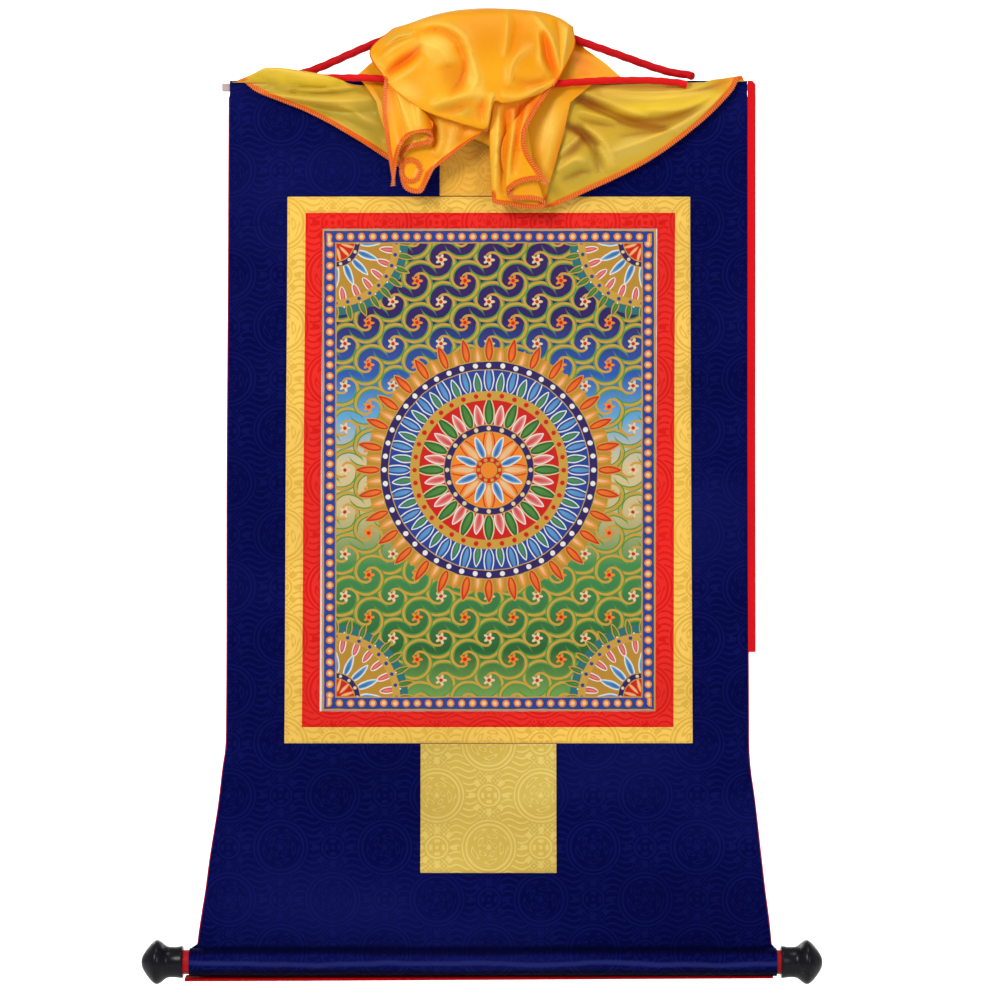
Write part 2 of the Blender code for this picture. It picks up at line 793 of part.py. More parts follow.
def main():
    clear_scene()
    finish = make_materials()
    build_ground_top(finish["navy_brocade"])
    build_ground_side("ground_left", -1, finish["navy_brocade"])
    build_ground_side("ground_right", 1, finish["navy_brocade"])
    build_ground_bottom(finish["navy_brocade"])
    build_lining(finish["red_lining"])
    build_tape(finish["red_lining"])
    build_frame("yellow_frame", YELLOW, RED, finish["yellow_brocade"])
    build_frame("red_frame", RED, PICTURE, finish["red_brocade"])
    build_panel("picture", PICTURE, CLOTH_DEPTH, CLOTH_THICK, GRID_STEP, finish["painted_cloth"])
    gold = finish["gold_brocade"]
    build_panel("gold_strip", GOLD_STRIP, PATCH_DEPTH, PATCH_THICK, GRID_STEP, gold)
    build_panel("door_patch", DOOR_PATCH, PATCH_DEPTH, PATCH_THICK, FINE_STEP, gold)
    build_bar(finish["pale_wood"])
    build_dowel(finish["red_wood"])
    turned("knob_left", KNOB_PROFILE, KNOB_LEFT, -1, finish["black_lacquer"])
    turned("knob_right", KNOB_PROFILE, KNOB_RIGHT, 1, finish["black_lacquer"])
    build_veil(finish["golden_silk"])
    build_cord("hanging_cord", HANGING_ROUTE, HANGING_CORD, finish["red_cord"])
    build_cord("tie_cord", TIE_ROUTE, TIE_CORD, finish["red_cord"])


main()
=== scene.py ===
"""The looks of a hanging thangka scroll painting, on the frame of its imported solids.

Lengths in the tables and constants are millimetres down and across from the middle of the hanging
cord, and depths are behind the front of the navy cloth. MM turns them into metres.
"""

import math
from collections import namedtuple

import bmesh
import bpy
import numpy as np
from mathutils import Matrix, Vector, noise


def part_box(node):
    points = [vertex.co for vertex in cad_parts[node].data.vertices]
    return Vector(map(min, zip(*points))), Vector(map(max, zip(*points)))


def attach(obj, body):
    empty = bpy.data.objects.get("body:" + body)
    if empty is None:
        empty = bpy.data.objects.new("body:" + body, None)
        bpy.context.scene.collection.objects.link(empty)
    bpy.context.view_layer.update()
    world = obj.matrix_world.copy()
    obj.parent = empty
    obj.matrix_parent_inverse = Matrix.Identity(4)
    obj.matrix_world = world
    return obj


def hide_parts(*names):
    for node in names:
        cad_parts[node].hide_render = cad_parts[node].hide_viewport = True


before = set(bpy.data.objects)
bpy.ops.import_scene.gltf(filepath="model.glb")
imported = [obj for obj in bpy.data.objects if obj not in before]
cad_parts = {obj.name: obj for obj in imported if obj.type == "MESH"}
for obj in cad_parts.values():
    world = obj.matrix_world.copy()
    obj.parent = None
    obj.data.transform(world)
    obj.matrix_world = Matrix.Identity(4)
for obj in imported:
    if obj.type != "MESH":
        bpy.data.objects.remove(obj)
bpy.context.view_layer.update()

MM = 0.001
HOOK_BEHIND = 3.0

CLOTH_THICK = 1.1
SEAM_GAP = 0.1
SEAM_DIP = 0.8
SEAM_REACH = 1.6
# Where a sheet's lines lie beside a seam, and how far apart they are elsewhere.
SEAM_LINES = (0.0, 0.7, 1.6, 3.2, 6.0)
PANEL_STEP = 9.0
PATCH_DEPTH, PATCH_THICK = -0.8, 1.0
TAPE_GAP, TAPE_THICK, TAPE_ROUND, TAPE_ROUND_TALL = 0.4, 1.0, 3.0, 4.0
LINING_TOP, LINING_DEPTH, LINING_STEP, LINING_WIDER, LINING_THICK = -82.0, 2.1, 12.0, 1.2, 0.8
SILK_THICK = 0.5
# The threads' pitch in the brocades and in the picture's cloth.
THREADS_APART, RIBS_APART, CANVAS_THREAD = 0.62, 0.9, 0.9

PHOTO_SIDE = 1000.0
PHOTO_CENTRE_X, PHOTO_CENTRE_Z = 11.0, -485.0
CAMERA_AWAY = 3.2
SENSOR = 36.0


def table(columns, *rows):
    """Rows with named columns."""
    row = namedtuple("Row", columns)
    return [row(*values) for values in rows]


# The same shape as in the part's own source: edges, swells, sleeves and panels.
EDGES = table(
    "z left right",
    (-64, -259.0, 258.0),
    (-256, -260.0, 258.0),
    (-436, -261.0, 258.0),
    (-728, -262.0, 259.0),
    (-754, -265.4, 260.5),
    (-785, -269.0, 265.0),
    (-843, -278.0, 271.5),
    (-874, -282.0, 275.0),
    (-904, -287.0, 279.0),
    (-931, -291.0, 282.0),
)
SWELLS = table(
    "x z reach_x reach_z height",
    (0, -770, 420, 30, 2.8),
    (-60, -808, 300, 34, -3.2),
    (60, -850, 260, 36, 3.0),
    (205, -800, 90, 60, -2.4),
    (-240, -850, 90, 60, 2.6),
    (-235, -560, 90, 170, 1.6),
    (228, -420, 90, 190, -1.8),
    (228, -640, 90, 100, 1.8),
    (-230, -300, 90, 110, -1.6),
    (0, -450, 190, 260, 2.6),
)
CALM_ABOVE, CALM_BELOW = -120.0, -885.0
UPPER_SEAM, LOWER_SEAM = -211.0, -728.0

Panel = namedtuple("Panel", "top bottom top_left top_right bottom_left bottom_right")
# A panel's corners as right and down, from its upper left one round.
CORNERS = ((0, 0), (1, 0), (1, 1), (0, 1))
YELLOW = Panel(-182.0, -728.0, -201.0, 201.0, -203.0, 203.0)
RED = Panel(-198.0, -712.0, -183.0, 186.0, -186.0, 184.0)
PICTURE = Panel(-214.0, -696.0, -166.0, 168.0, -168.4, 166.0)
GOLD_STRIP = Panel(-77.0, -181.0, -49.0, 49.0, -49.0, 49.0)
DOOR_PATCH = Panel(-728.6, -857.0, -68.0, 67.0, -68.0, 67.0)

UPPER_SLEEVE = table(
    "depth z",
    (3.9, -104.0),
    (4.0, -94.0),
    (5.4, -85.0),
    (7.2, -79.0),
    (7.3, -70.0),
    (6.5, -67.0),
    (4.0, -66.05),
    (1.5, -67.0),
    (0.65, -70.0),
    (0.65, -80.0),
)
ROLL_GROOVE = table("depth z", (0.65, -905.0), (1.4, -918.0), (2.8, -928.0))
LINING_TAIL = table(
    "depth z",
    (2.1, -905.0),
    (3.8, -918.0),
    (6.4, -928.0),
    (9.6, -936.0),
    (11.6, -944.0),
    (11.0, -953.0),
    (7.0, -960.0),
    (1.0, -961.8),
    (-5.5, -962.6),
    (-8.5, -964.5),
)
LINING_LIP_RISE, LIP_BEYOND = 3.0, 11.0
# From where to where the lip rises, and where it is under the roll and left of its middle.
LIP_RISES, LIP_BELOW, LIP_LEFT = (944.0, 964.5), (959.0, 961.0), (200.0, 290.0)
TOPSTITCH_IN, TOPSTITCH_APART, TOPSTITCH_LONG = 1.9, 3.1, 2.3
TOPSTITCH_RADIUS, TOPSTITCH_LIFT, TOPSTITCH_SIDES = 0.2, 0.16, 5
# Painted shade and light along the roll: the shade above it, the light along its front and the shade
# beneath.
ROLL_SHADE_BANDS = table(
    "z half soft lumps wander tint share",
    (-934.0, 1.2, 4.5, 9.0, 3.0, (0.0004, 0.0005, 0.018), 0.8),
    (-945.8, 0.6, 3.2, 14.0, 9.0, (0.02, 0.026, 0.16), 0.75),
    (-957.5, 2.8, 4.0, 9.0, 3.0, (0.0004, 0.0002, 0.006), 0.9),
)
ROLL_AHEAD, ROLL_Z = 4.0, -946.0
KNOB_LEFT, KNOB_RIGHT = -305.0, 291.0
# A knob's profile: first the face that looks at the cloth and its bore, then its turned outside.
KNOB_BORE = table("out radius", (18.5, 0.0), (18.5, 12.4), (0.0, 12.4), (0.0, 14.6))
KNOB_OUTSIDE = table(
    "out radius",
    (0.0, 14.6),
    (0.4, 15.5),
    (1.6, 16.0),
    (8.0, 15.2),
    (14.5, 15.4),
    (18.0, 17.0),
    (21.0, 19.6),
    (24.0, 21.5),
    (26.5, 22.0),
    (28.6, 21.2),
    (31.5, 18.8),
    (35.0, 14.8),
    (38.4, 10.0),
    (41.0, 5.0),
    (42.0, 0.0),
)
KNOB_SIDES = 72
SLEEVE_RADIUS = 13.35
SLEEVE_LEFT, SLEEVE_RIGHT = -298.5, 286.8
SLEEVE_START, SLEEVE_END = -22.0, 286.0

VEIL_CREST = table(
    "across z ahead",
    (0.000, -66.0, 3.0),
    (0.030, -59.5, 8.0),
    (0.050, -55.5, 11.0),
    (0.080, -55.5, 13.0),
    (0.125, -58.5, 14.0),
    (0.165, -62.0, 14.0),
    (0.200, -67.0, 13.0),
    (0.218, -70.5, 9.0),
    (0.240, -72.0, 5.0),
    (0.300, -72.0, 4.0),
    (0.600, -72.0, 4.0),
    (0.800, -71.0, 4.0),
    (0.920, -69.5, 4.0),
    (0.942, -66.2, 4.0),
    (0.968, -64.4, 4.0),
    (1.000, -62.0, 4.0),
)
CREST_ALONG = 0.035
VEIL_BACK = table(
    "along left_x left_z middle_z right_x right_z ahead forward",
    (0.000, -257, -67.5, -72, 257, -66.5, 1.3, 0.0),
    (0.010, -253, -68, -73, 255, -67, 1.8, 0.42),
    (0.035, -247, -68, -68, 251, -66, 0.0, 1.0),
    (0.060, -231, -78, -78, 242, -78, 4.0, 0.7),
    (0.120, -182, -98, -88, 210, -110, 7.0, 0.2),
    (0.200, -133, -125, -99, 158, -148, 8.5, 0.0),
    (0.270, -94, -150, -111, 97, -178, 9.0, 0.0),
    (0.320, -80, -159, -126, 56, -194, 12.0, 0.0),
    (0.360, -98, -130, -120, 60, -171, 16.0, 0.0),
    (0.400, -109, -102, -100, 76, -115, 17.0, 0.0),
    (0.430, -115, -81, -80, 88, -76, 12.5, 0.0),
    (0.460, -132, -63, -56, 132, -65, 7.0, 0.0),
    (0.500, -110, -42, -30, 100, -37, -5.0, 0.0),
)
WRAP_ALONG, WRAP_DROP, WRAP_BEHIND = 0.535, 7.0, 10.2
TOP_ALONG, BROW_ALONG, PUFF_ALONG = 0.57, 0.6, 0.66
POUCH_ALONG, TUCK_ALONG, EAR_ALONG = 0.73, 0.755, 0.85
BROW_X, BROW_AHEAD, BROW_Z = 0.25, 0.55, 0.16
TUCK_RISE = 3.0
VEIL_TOP = table(
    "across x ahead z",
    (0.00, -92, -3, -12.5),
    (0.12, -80, -3, -9),
    (0.25, -58, -3, -1),
    (0.38, -34, -3, 4.4),
    (0.48, -9, -3, 6.6),
    (0.58, 14, -3, 6.4),
    (0.70, 36, -3, 5),
    (0.82, 56, -3, 2),
    (0.92, 72, -3, -4),
    (1.00, 84, -3, -12),
)
VEIL_PUFF = table(
    "across x ahead z",
    (0.00, -119, 10, -39),
    (0.06, -108, 19, -41),
    (0.12, -96, 26, -43),
    (0.25, -65, 33, -47),
    (0.38, -36, 36, -51),
    (0.48, -9, 36, -52),
    (0.58, 14, 35, -51),
    (0.70, 36, 33, -48),
    (0.82, 57, 28, -44),
    (0.92, 72, 20, -39),
    (1.00, 85, 10, -35),
)
VEIL_POUCH = table(
    "across x ahead under z",
    (0.00, -103, 30, 27.5, -68),
    (0.06, -96, 32, 29.5, -76),
    (0.12, -89, 34, 31, -82),
    (0.20, -77, 36, 32, -91),
    (0.28, -64, 37, 28, -99),
    (0.36, -45, 37, 26, -106),
    (0.44, -17, 36, 27, -114),
    (0.48, -2, 34, 27, -115),
    (0.52, 4, 35, 26, -92),
    (0.60, 14, 37, 26, -92),
    (0.70, 28, 36, 25, -90),
    (0.80, 44, 34, 26, -85),
    (0.86, 51, 32, 28, -82),
    (0.92, 59, 31, 28.5, -77),
    (1.00, 67, 29, 27, -72),
)
VEIL_EAR = table(
    "across x ahead z",
    (0.00, -105, 30, -103),
    (0.06, -89, 34, -109),
    (0.12, -69, 34, -111),
    (0.17, -56, 34, -111),
    (0.22, -69, 28, -113),
    (0.28, -87, 23, -115),
    (0.33, -77, 21, -123),
    (0.38, -57, 22, -127),
    (0.43, -33, 24, -125),
    (0.48, -2, 25, -116),
    (0.51, 3, 21, -114),
    (0.55, 1, 28, -125),
    (0.61, 11, 28, -127),
    (0.68, 26, 26, -127),
    (0.74, 40, 24, -127),
    (0.80, 28, 30, -127),
    (0.86, 15, 33, -127),
    (0.92, 23, 36, -126),
    (1.00, 36, 37, -125),
)
VEIL_HEM = table(
    "across x ahead z",
    (0.000, -94.5, 32, -175),
    (0.030, -92.5, 34, -163),
    (0.060, -90, 36, -146),
    (0.090, -85, 37, -133),
    (0.130, -76.3, 37, -124.7),
    (0.170, -64, 36, -122),
    (0.200, -56, 34, -125),
    (0.215, -55.5, 32, -130),
    (0.240, -63, 30, -133.5),
    (0.280, -80, 29, -138),
    (0.300, -86, 28, -145.7),
    (0.325, -88.5, 27, -157),
    (0.350, -87, 26, -169),
    (0.370, -83, 25, -177),
    (0.390, -75, 24, -180.5),
    (0.410, -66, 24, -179.5),
    (0.425, -62, 25, -170),
    (0.440, -57, 26, -159),
    (0.455, -42, 28, -147.6),
    (0.470, -21, 29, -131),
    (0.480, -2, 25, -119),
    (0.500, 5, 20.5, -135),
    (0.520, 8, 20, -160),
    (0.540, 5, 21, -182),
    (0.570, 4, 24, -190),
    (0.620, 19, 25, -193),
    (0.680, 35, 24, -195.5),
    (0.740, 51, 24, -196),
    (0.770, 56, 26.5, -192),
    (0.800, 43, 30, -188),
    (0.840, 25, 31, -188),
    (0.860, 18, 33, -184),
    (0.900, 24, 35, -176),
    (0.940, 35, 36, -170.6),
    (0.980, 52, 35, -169),
    (1.000, 59, 34, -173),
)
VEIL_CREASES = table(
    "start end x1 z1 x2 z2 x3 z3 x4 z4 width height",
    (0.58, 0.74, -76, -22, -52, -19, -34, -29, -27, -46, 3.2, -4.5),
    (0.58, 0.74, -30, -36, -24, -52, -27, -72, -42, -91, 3.0, -4.5),
    (0.58, 0.74, -80, -14, -48, -12, -24, -26, -18, -46, 4.0, 3.5),
    (0.58, 0.74, -20, -38, -15, -55, -12, -72, -24, -88, 4.0, 4.5),
    (0.58, 0.74, -70, -34, -56, -34, -44, -42, -40, -56, 9.0, 5.0),
    (0.58, 0.74, -102, -64, -90, -55, -77, -46, -66, -34, 4.2, -8.0),
    (0.58, 0.74, -98, -74, -86, -66, -74, -58, -64, -46, 4.5, 3.5),
    (0.58, 0.74, -112, -52, -98, -40, -84, -32, -72, -27, 3.0, 3.5),
    (0.58, 0.74, -112, -44, -98, -33, -86, -28, -70, -25, 3.0, -2.5),
    (0.58, 0.74, -106, -34, -92, -25, -78, -22, -62, -20, 3.0, 2.5),
    (0.60, 0.74, -58, -97, -42, -91, -22, -86, 3, -85, 3.2, 5.0),
    (0.60, 0.74, -56, -104, -38, -99, -18, -96, 0, -97, 4.5, -3.5),
    (0.60, 0.74, -30, -108, -22, -100, -16, -96, -8, -92, 3.0, 2.5),
    (0.58, 0.74, 17, 2, 18, -14, 17, -30, 15, -48, 3.2, 3.0),
    (0.58, 0.74, 26, 2, 28, -16, 24, -36, 22, -52, 4.5, -2.0),
    (0.58, 0.74, 46, -36, 30, -44, 22, -58, 20, -78, 3.4, 3.5),
    (0.60, 0.76, 5, -83, 2, -92, 0, -104, -1, -116, 3.0, 6.5),
    (0.60, 0.76, -5, -88, -7, -96, -8, -104, -8, -112, 3.0, -3.0),
    (0.58, 0.74, 40, 2, 57, -19, 66, -38, 71, -62, 3.2, 5.0),
    (0.58, 0.74, 54, -20, 56, -36, 60, -52, 70, -66, 4.0, -6.5),
    (0.58, 0.74, 48, -16, 50, -34, 52, -52, 62, -68, 3.0, 3.5),
    (0.58, 0.74, 79, -9, 77, -25, 74, -45, 72, -64, 3.6, 4.0),
    (0.58, 0.74, 66, -4, 70, -20, 71, -40, 71, -62, 3.0, -3.0),
    (0.60, 0.74, 11, -87, 31, -88, 48, -80, 67, -69, 3.6, 4.5),
    (0.60, 0.74, 24, -68, 38, -74, 52, -72, 69, -67, 3.4, -3.0),
    (0.60, 0.74, -117, -41, -114, -51, -109, -59, -102, -66, 3.0, 3.0),
    (0.76, 1.00, -93, -77, -87, -93, -79, -113, -71, -135, 4.0, 4.0),
    (0.76, 1.00, -98, -70, -90, -92, -86, -112, -84, -132, 3.0, -3.5),
    (0.76, 1.00, -71, -91, -70, -100, -69, -110, -68, -120, 3.4, 4.5),
    (0.76, 1.00, -62, -97, -58, -108, -55, -122, -56, -138, 3.6, -5.5),
    (0.76, 1.00, -52, -100, -48, -114, -47, -128, -51, -145, 3.2, 4.5),
    (0.76, 1.00, -39, -107, -34, -116, -36, -128, -43, -145, 5.0, 3.0),
    (0.76, 1.00, -26, -108, -24, -114, -26, -122, -30, -130, 3.4, -3.0),
    (0.76, 1.00, 10, -92, 9, -120, 7, -150, 6, -184, 3.0, 5.0),
    (0.76, 1.00, 17, -93, 17, -120, 15, -150, 13, -184, 3.2, -5.0),
    (0.76, 1.00, 25, -93, 24, -120, 20, -150, 17, -180, 3.2, 4.5),
    (0.76, 1.00, 32, -91, 31, -110, 27, -135, 24, -165, 3.2, -5.0),
    (0.76, 1.00, 39, -91, 35, -108, 31, -124, 30, -140, 3.0, 4.0),
    (0.34, 0.44, 66, -86, 62, -112, 58, -140, 54, -168, 5.0, 5.0),
    (0.34, 0.44, 80, -88, 76, -112, 70, -136, 62, -164, 4.0, -4.0),
    (0.34, 0.44, -109, -78, -106, -96, -102, -112, -98, -124, 3.0, 3.0),
    (0.02, 0.32, 246, -69, 201, -77, 151, -79, 101, -73, 4.0, 5.0),
    (0.02, 0.32, 240, -67, 226, -72, 212, -76, 190, -79, 3.0, -5.0),
    (0.02, 0.32, 226, -76, 190, -84, 150, -86, 112, -80, 5.0, 5.0),
    (0.02, 0.32, 160, -103, 140, -98, 118, -88, 88, -75, 3.0, 5.5),
    (0.02, 0.32, 184, -118, 140, -108, 112, -96, 84, -83, 4.6, -8.0),
    (0.02, 0.32, 216, -88, 196, -99, 172, -106, 146, -106, 3.6, -4.0),
    (0.02, 0.32, 222, -82, 204, -92, 182, -97, 156, -96, 3.0, 3.5),
    (0.02, 0.32, 236, -80, 196, -108, 160, -125, 118, -140, 3.6, 5.5),
    (0.02, 0.32, 226, -84, 190, -108, 160, -118, 128, -124, 3.0, -4.0),
    (0.02, 0.32, 130, -108, 116, -104, 104, -101, 90, -97, 3.0, 4.0),
    (0.02, 0.32, 128, -114, 114, -111, 100, -108, 88, -104, 3.0, -3.5),
    (0.02, 0.32, 94, -112, 110, -124, 120, -138, 126, -156, 3.0, 6.0),
    (0.02, 0.32, 104, -129, 112, -138, 118, -148, 120, -158, 3.0, 3.5),
    (0.02, 0.32, 88, -110, 99, -126, 107, -142, 110, -160, 3.4, -6.0),
    (0.02, 0.32, 110, -132, 100, -126, 90, -118, 76, -112, 3.4, -6.0),
    (0.02, 0.32, 70, -142, 78, -134, 86, -127, 92, -119, 3.0, 5.0),
    (0.02, 0.32, 68, -158, 78, -150, 88, -146, 98, -148, 3.4, 4.5),
    (0.02, 0.32, 72, -168, 84, -162, 94, -158, 104, -160, 3.0, -4.0),
    (0.02, 0.32, -246, -66, -226, -68, -205, -73, -178, -74, 3.0, -5.0),
    (0.02, 0.32, -238, -58, -212, -57, -184, -63, -150, -68, 4.5, 5.5),
    (0.02, 0.32, -204, -69, -182, -73, -162, -74, -138, -71, 3.0, -5.0),
    (0.02, 0.32, -238, -73, -200, -79, -152, -80, -116, -75, 3.0, -5.0),
    (0.02, 0.32, -212, -73, -186, -77, -160, -77, -126, -73, 3.0, 4.5),
    (0.02, 0.32, -224, -79, -188, -86, -150, -89, -114, -87, 4.0, 4.0),
    (0.02, 0.32, -206, -86, -176, -93, -146, -98, -112, -98, 3.6, -4.0),
    (0.02, 0.32, -196, -95, -164, -108, -136, -122, -108, -138, 3.4, 4.5),
    (0.02, 0.32, -176, -93, -148, -104, -124, -115, -104, -128, 3.6, -3.5),
    (0.02, 0.32, -150, -92, -134, -98, -122, -106, -104, -112, 3.4, 3.5),
)
CREASE_FADE = 0.02

# The silk's tints, as linear red, green and blue. The deep, brown and tan tints are painted shade,
# the pale, cream and sunny tints are painted highlights, and the amber and olive tints are partly
# painted shade and partly the colour of gathered or sheer silk.
SILK_ORANGE = (0.92, 0.34, 0.003)
SILK_GOLD = (0.97, 0.45, 0.012)
SILK_SHEER = (0.62, 0.4, 0.03)
SILK_SHADE = (0.9, 0.15, 0.003)
SILK_AMBER = (0.78, 0.25, 0.002)
SILK_HIGHLIGHT = (1.0, 0.66, 0.1)
SILK_OLIVE = (0.44, 0.34, 0.035)
SILK_BROWN_SHADE = (0.26, 0.06, 0.008)
SILK_TAN_SHADE = (0.46, 0.19, 0.006)
SILK_CREAM_HIGHLIGHT = (0.68, 0.52, 0.12)
SILK_SUNNY_HIGHLIGHT = (0.95, 0.66, 0.02)
HEM_ORANGE = (0.78, 0.1, 0.003)
STITCH_ORANGE = (0.98, 0.27, 0.07)

# Soft patches of another tint, most of them painted shade in folds and under the puff and painted
# highlights on lit folds, some the colour of layered silk: the stretch of the sheet they are on,
# their middle, half their width and height, how far they are turned in degrees, and how strong they
# are.
VEIL_TONES = table(
    "start end x z wide tall turned tint share",
    (0.55, 0.74, -2, -24, 48, 26, 0, SILK_AMBER, 0.65),
    (0.55, 0.74, -86, -50, 19, 5, 38, SILK_SHADE, 0.85),
    (0.55, 0.74, -36, -62, 14, 18, 15, SILK_AMBER, 0.9),
    (0.55, 0.74, -62, -34, 18, 8, 10, SILK_HIGHLIGHT, 0.55),
    (0.55, 0.74, -88, -26, 16, 5, 25, SILK_OLIVE, 0.45),
    (0.55, 0.74, -82, -80, 18, 9, -35, SILK_HIGHLIGHT, 0.45),
    (0.55, 0.74, -14, -72, 7, 22, 15, SILK_HIGHLIGHT, 0.6),
    (0.55, 0.74, -30, -100, 22, 6, -8, SILK_OLIVE, 0.45),
    (0.55, 0.74, 38, -40, 16, 26, 0, SILK_AMBER, 0.45),
    (0.55, 0.74, 60, -44, 6, 20, 12, SILK_SHADE, 0.85),
    (0.55, 0.74, 40, -76, 22, 8, 0, SILK_AMBER, 0.5),
    (0.55, 0.74, 74, -22, 6, 18, 0, SILK_HIGHLIGHT, 0.35),
    (0.74, 1.00, 40, -97, 30, 9, 18, SILK_SHADE, 0.95),
    (0.74, 1.00, 30, -118, 8, 26, -12, SILK_SHADE, 0.55),
    (0.74, 1.00, 15, -130, 4, 42, -2, SILK_AMBER, 0.7),
    (0.74, 1.00, 8, -130, 4, 50, 0, SILK_HIGHLIGHT, 0.5),
    (0.74, 1.00, -54, -120, 9, 22, 8, SILK_AMBER, 0.9),
    (0.74, 1.00, -36, -124, 14, 14, -30, SILK_AMBER, 0.5),
    (0.74, 1.00, -82, -98, 10, 22, 12, SILK_HIGHLIGHT, 0.4),
    (0.74, 1.00, -102, -84, 8, 26, 5, SILK_SHADE, 0.6),
    (0.32, 0.46, 68, -150, 12, 34, 0, SILK_AMBER, 0.6),
    (0.32, 0.46, 60, -112, 12, 18, 0, SILK_HIGHLIGHT, 0.4),
    (0.43, 0.53, 94, -42, 12, 22, 0, SILK_AMBER, 0.8),
    (0.00, 0.33, 132, -102, 52, 5, -20, SILK_TAN_SHADE, 0.95),
    (0.00, 0.33, 96, -86, 16, 5, -22, SILK_BROWN_SHADE, 0.8),
    (0.00, 0.33, 90, -119, 20, 5, -34, SILK_BROWN_SHADE, 0.9),
    (0.00, 0.33, 84, -134, 16, 6, 42, SILK_BROWN_SHADE, 0.85),
    (0.00, 0.33, 76, -134, 5, 8, -40, SILK_OLIVE, 0.6),
    (0.00, 0.33, 180, -104, 36, 5, 14, SILK_TAN_SHADE, 0.6),
    (0.00, 0.33, 212, -77, 24, 3, 14, SILK_BROWN_SHADE, 0.7),
    (0.00, 0.33, 138, -134, 26, 9, 20, SILK_CREAM_HIGHLIGHT, 0.55),
    (0.00, 0.33, 200, -105, 42, 4, 36, SILK_CREAM_HIGHLIGHT, 0.5),
    (0.43, 0.53, 92, -48, 7, 20, 20, SILK_SHADE, 0.5),
    (0.00, 0.33, 175, -90, 56, 7, 8, SILK_SUNNY_HIGHLIGHT, 0.9),
    (0.00, 0.33, 238, -68, 14, 9, 20, SILK_AMBER, 0.7),
    (0.00, 0.33, -200, -64, 46, 6, -6, SILK_SUNNY_HIGHLIGHT, 0.6),
    (0.00, 0.33, -176, -70, 32, 4, 0, SILK_SUNNY_HIGHLIGHT, 0.8),
    (0.00, 0.33, -122, -106, 24, 20, -20, SILK_OLIVE, 0.75),
    (0.00, 0.33, -165, -92, 26, 8, -25, SILK_OLIVE, 0.6),
    (0.00, 0.33, 108, -146, 24, 14, 30, SILK_OLIVE, 0.5),
    (0.00, 0.33, 86, -162, 18, 14, 10, SILK_OLIVE, 0.7),
)

# How wide the hem shows at places along both side edges, and how its stitches lie.
HEM_WIDTHS = table(
    "along wide",
    (0.00, 0.0), (0.012, 0.0), (0.02, 4.6), (0.30, 4.6), (0.34, 0.0), (0.55, 0.0),
    (0.58, 1.3), (0.71, 1.3), (0.75, 4.6), (1.00, 4.6),
)
HEM_WIDE, HEM_SOFT = 4.6, 0.5
HEM_ROWS, HEM_WINDOW, HEM_LEAN = 30, 10, 0.9
STITCH_APART, STITCH_SLANT, STITCHED_FROM = 2.4, 1.2, 0.04
WING_CLEARS = 2.4
CURL_X, CURL_Z, CURL_WIDE, CURL_TALL = -77.5, -158.5, 9.5, 10.5
CURL_ALONG, CURL_ACROSS, CURL_RISE = 0.86, 0.46, 1.6
# A stitch across the curled ring: how far out each of its points lies.
CURL_BAR = (-2.0, 0.0, 2.0)
STITCH_RADIUS, STITCH_LIFT, STITCH_SIDES = 0.48, 0.3, 6
# One stitch over the hem's edge: how far in, on which side of the silk, and how far it slants.
STITCH_BAR = ((4.0, 1, 1.0), (2.1, 1, 0.5), (0.4, 1, 0.1), (0.4, -1, 0.0), (3.4, -1, -0.8))

HANGING_ROUTE = table(
    "x depth z",
    (-200, 3.5, -61.2),
    (-194, 3.4, -60.6),
    (-172, 3.2, -53.6),
    (-140, 3.0, -39.6),
    (-109, 3.0, -26.2),
    (-70, 3.0, -12.4),
    (-34, 3.0, -2.8),
    (0, 3.0, 0.0),
    (34, 3.0, -5.4),
    (60, 3.0, -14.6),
    (89, 3.0, -25.4),
    (130, 3.0, -40.0),
    (168, 3.0, -53.4),
    (186, 1.5, -58.4),
    (196, -2.0, -60.0),
    (203, -7.0, -62.6),
)
TIE_ROUTE = table(
    "x depth z",
    (-200, -4.8, -64.0),
    (-178, -4.8, -63.8),
    (-160, -5.6, -63.8),
    (-146, -7.8, -64.2),
    (-132, -13.6, -64.8),
    (-118, -17.0, -65.6),
    (-104, -18.6, -67.0),
    (-80, -21.0, -68.5),
    (-40, -22.5, -70.5),
    (10, -22.0, -72.0),
    (56, -19.5, -72.0),
    (86, -18.0, -70.0),
    (118, -17.5, -68.2),
    (160, -14.0, -67.6),
    (186, -12.0, -69.4),
    (197, -11.6, -71.0),
)
HANGING_CORD, TIE_CORD = 8.0, 7.0
TUBE_SIDES, TUBE_STEP = 18, 1.4
TWIST_PITCH, TWIST_DEPTH, TWIST_STRANDS = 15.0, 0.06, 3


# ---------------------------------------------------------------- curves and surfaces


def smooth_step(low, high, value):
    """0 below low, 1 above high, and an even ease between."""
    t = min(1.0, max(0.0, (value - low) / (high - low)))
    return t * t * (3 - 2 * t)


def smooth_between(places, values, at):
    """A smooth curve through values at rising places. Values are numbers or Vectors."""
    if at <= places[0]:
        return values[0]
    if at >= places[-1]:
        return values[-1]
    last = len(places) - 1
    k = next(i for i in range(last) if at <= places[i + 1])

    def slope(i):
        a, b = max(0, i - 1), min(last, i + 1)
        return (values[b] - values[a]) / (places[b] - places[a])

    width = places[k + 1] - places[k]
    t = (at - places[k]) / width
    start, end = slope(k) * width, slope(k + 1) * width
    return (
        values[k] * (2 * t**3 - 3 * t**2 + 1)
        + start * (t**3 - 2 * t**2 + t)
        + values[k + 1] * (3 * t**2 - 2 * t**3)
        + end * (t**3 - t**2)
    )


def column(rows, name, at, place):
    """The smooth value of one named column of a table at a place along another."""
    places = [getattr(row, place) for row in rows]
    return smooth_between(places, [getattr(row, name) for row in rows], at)


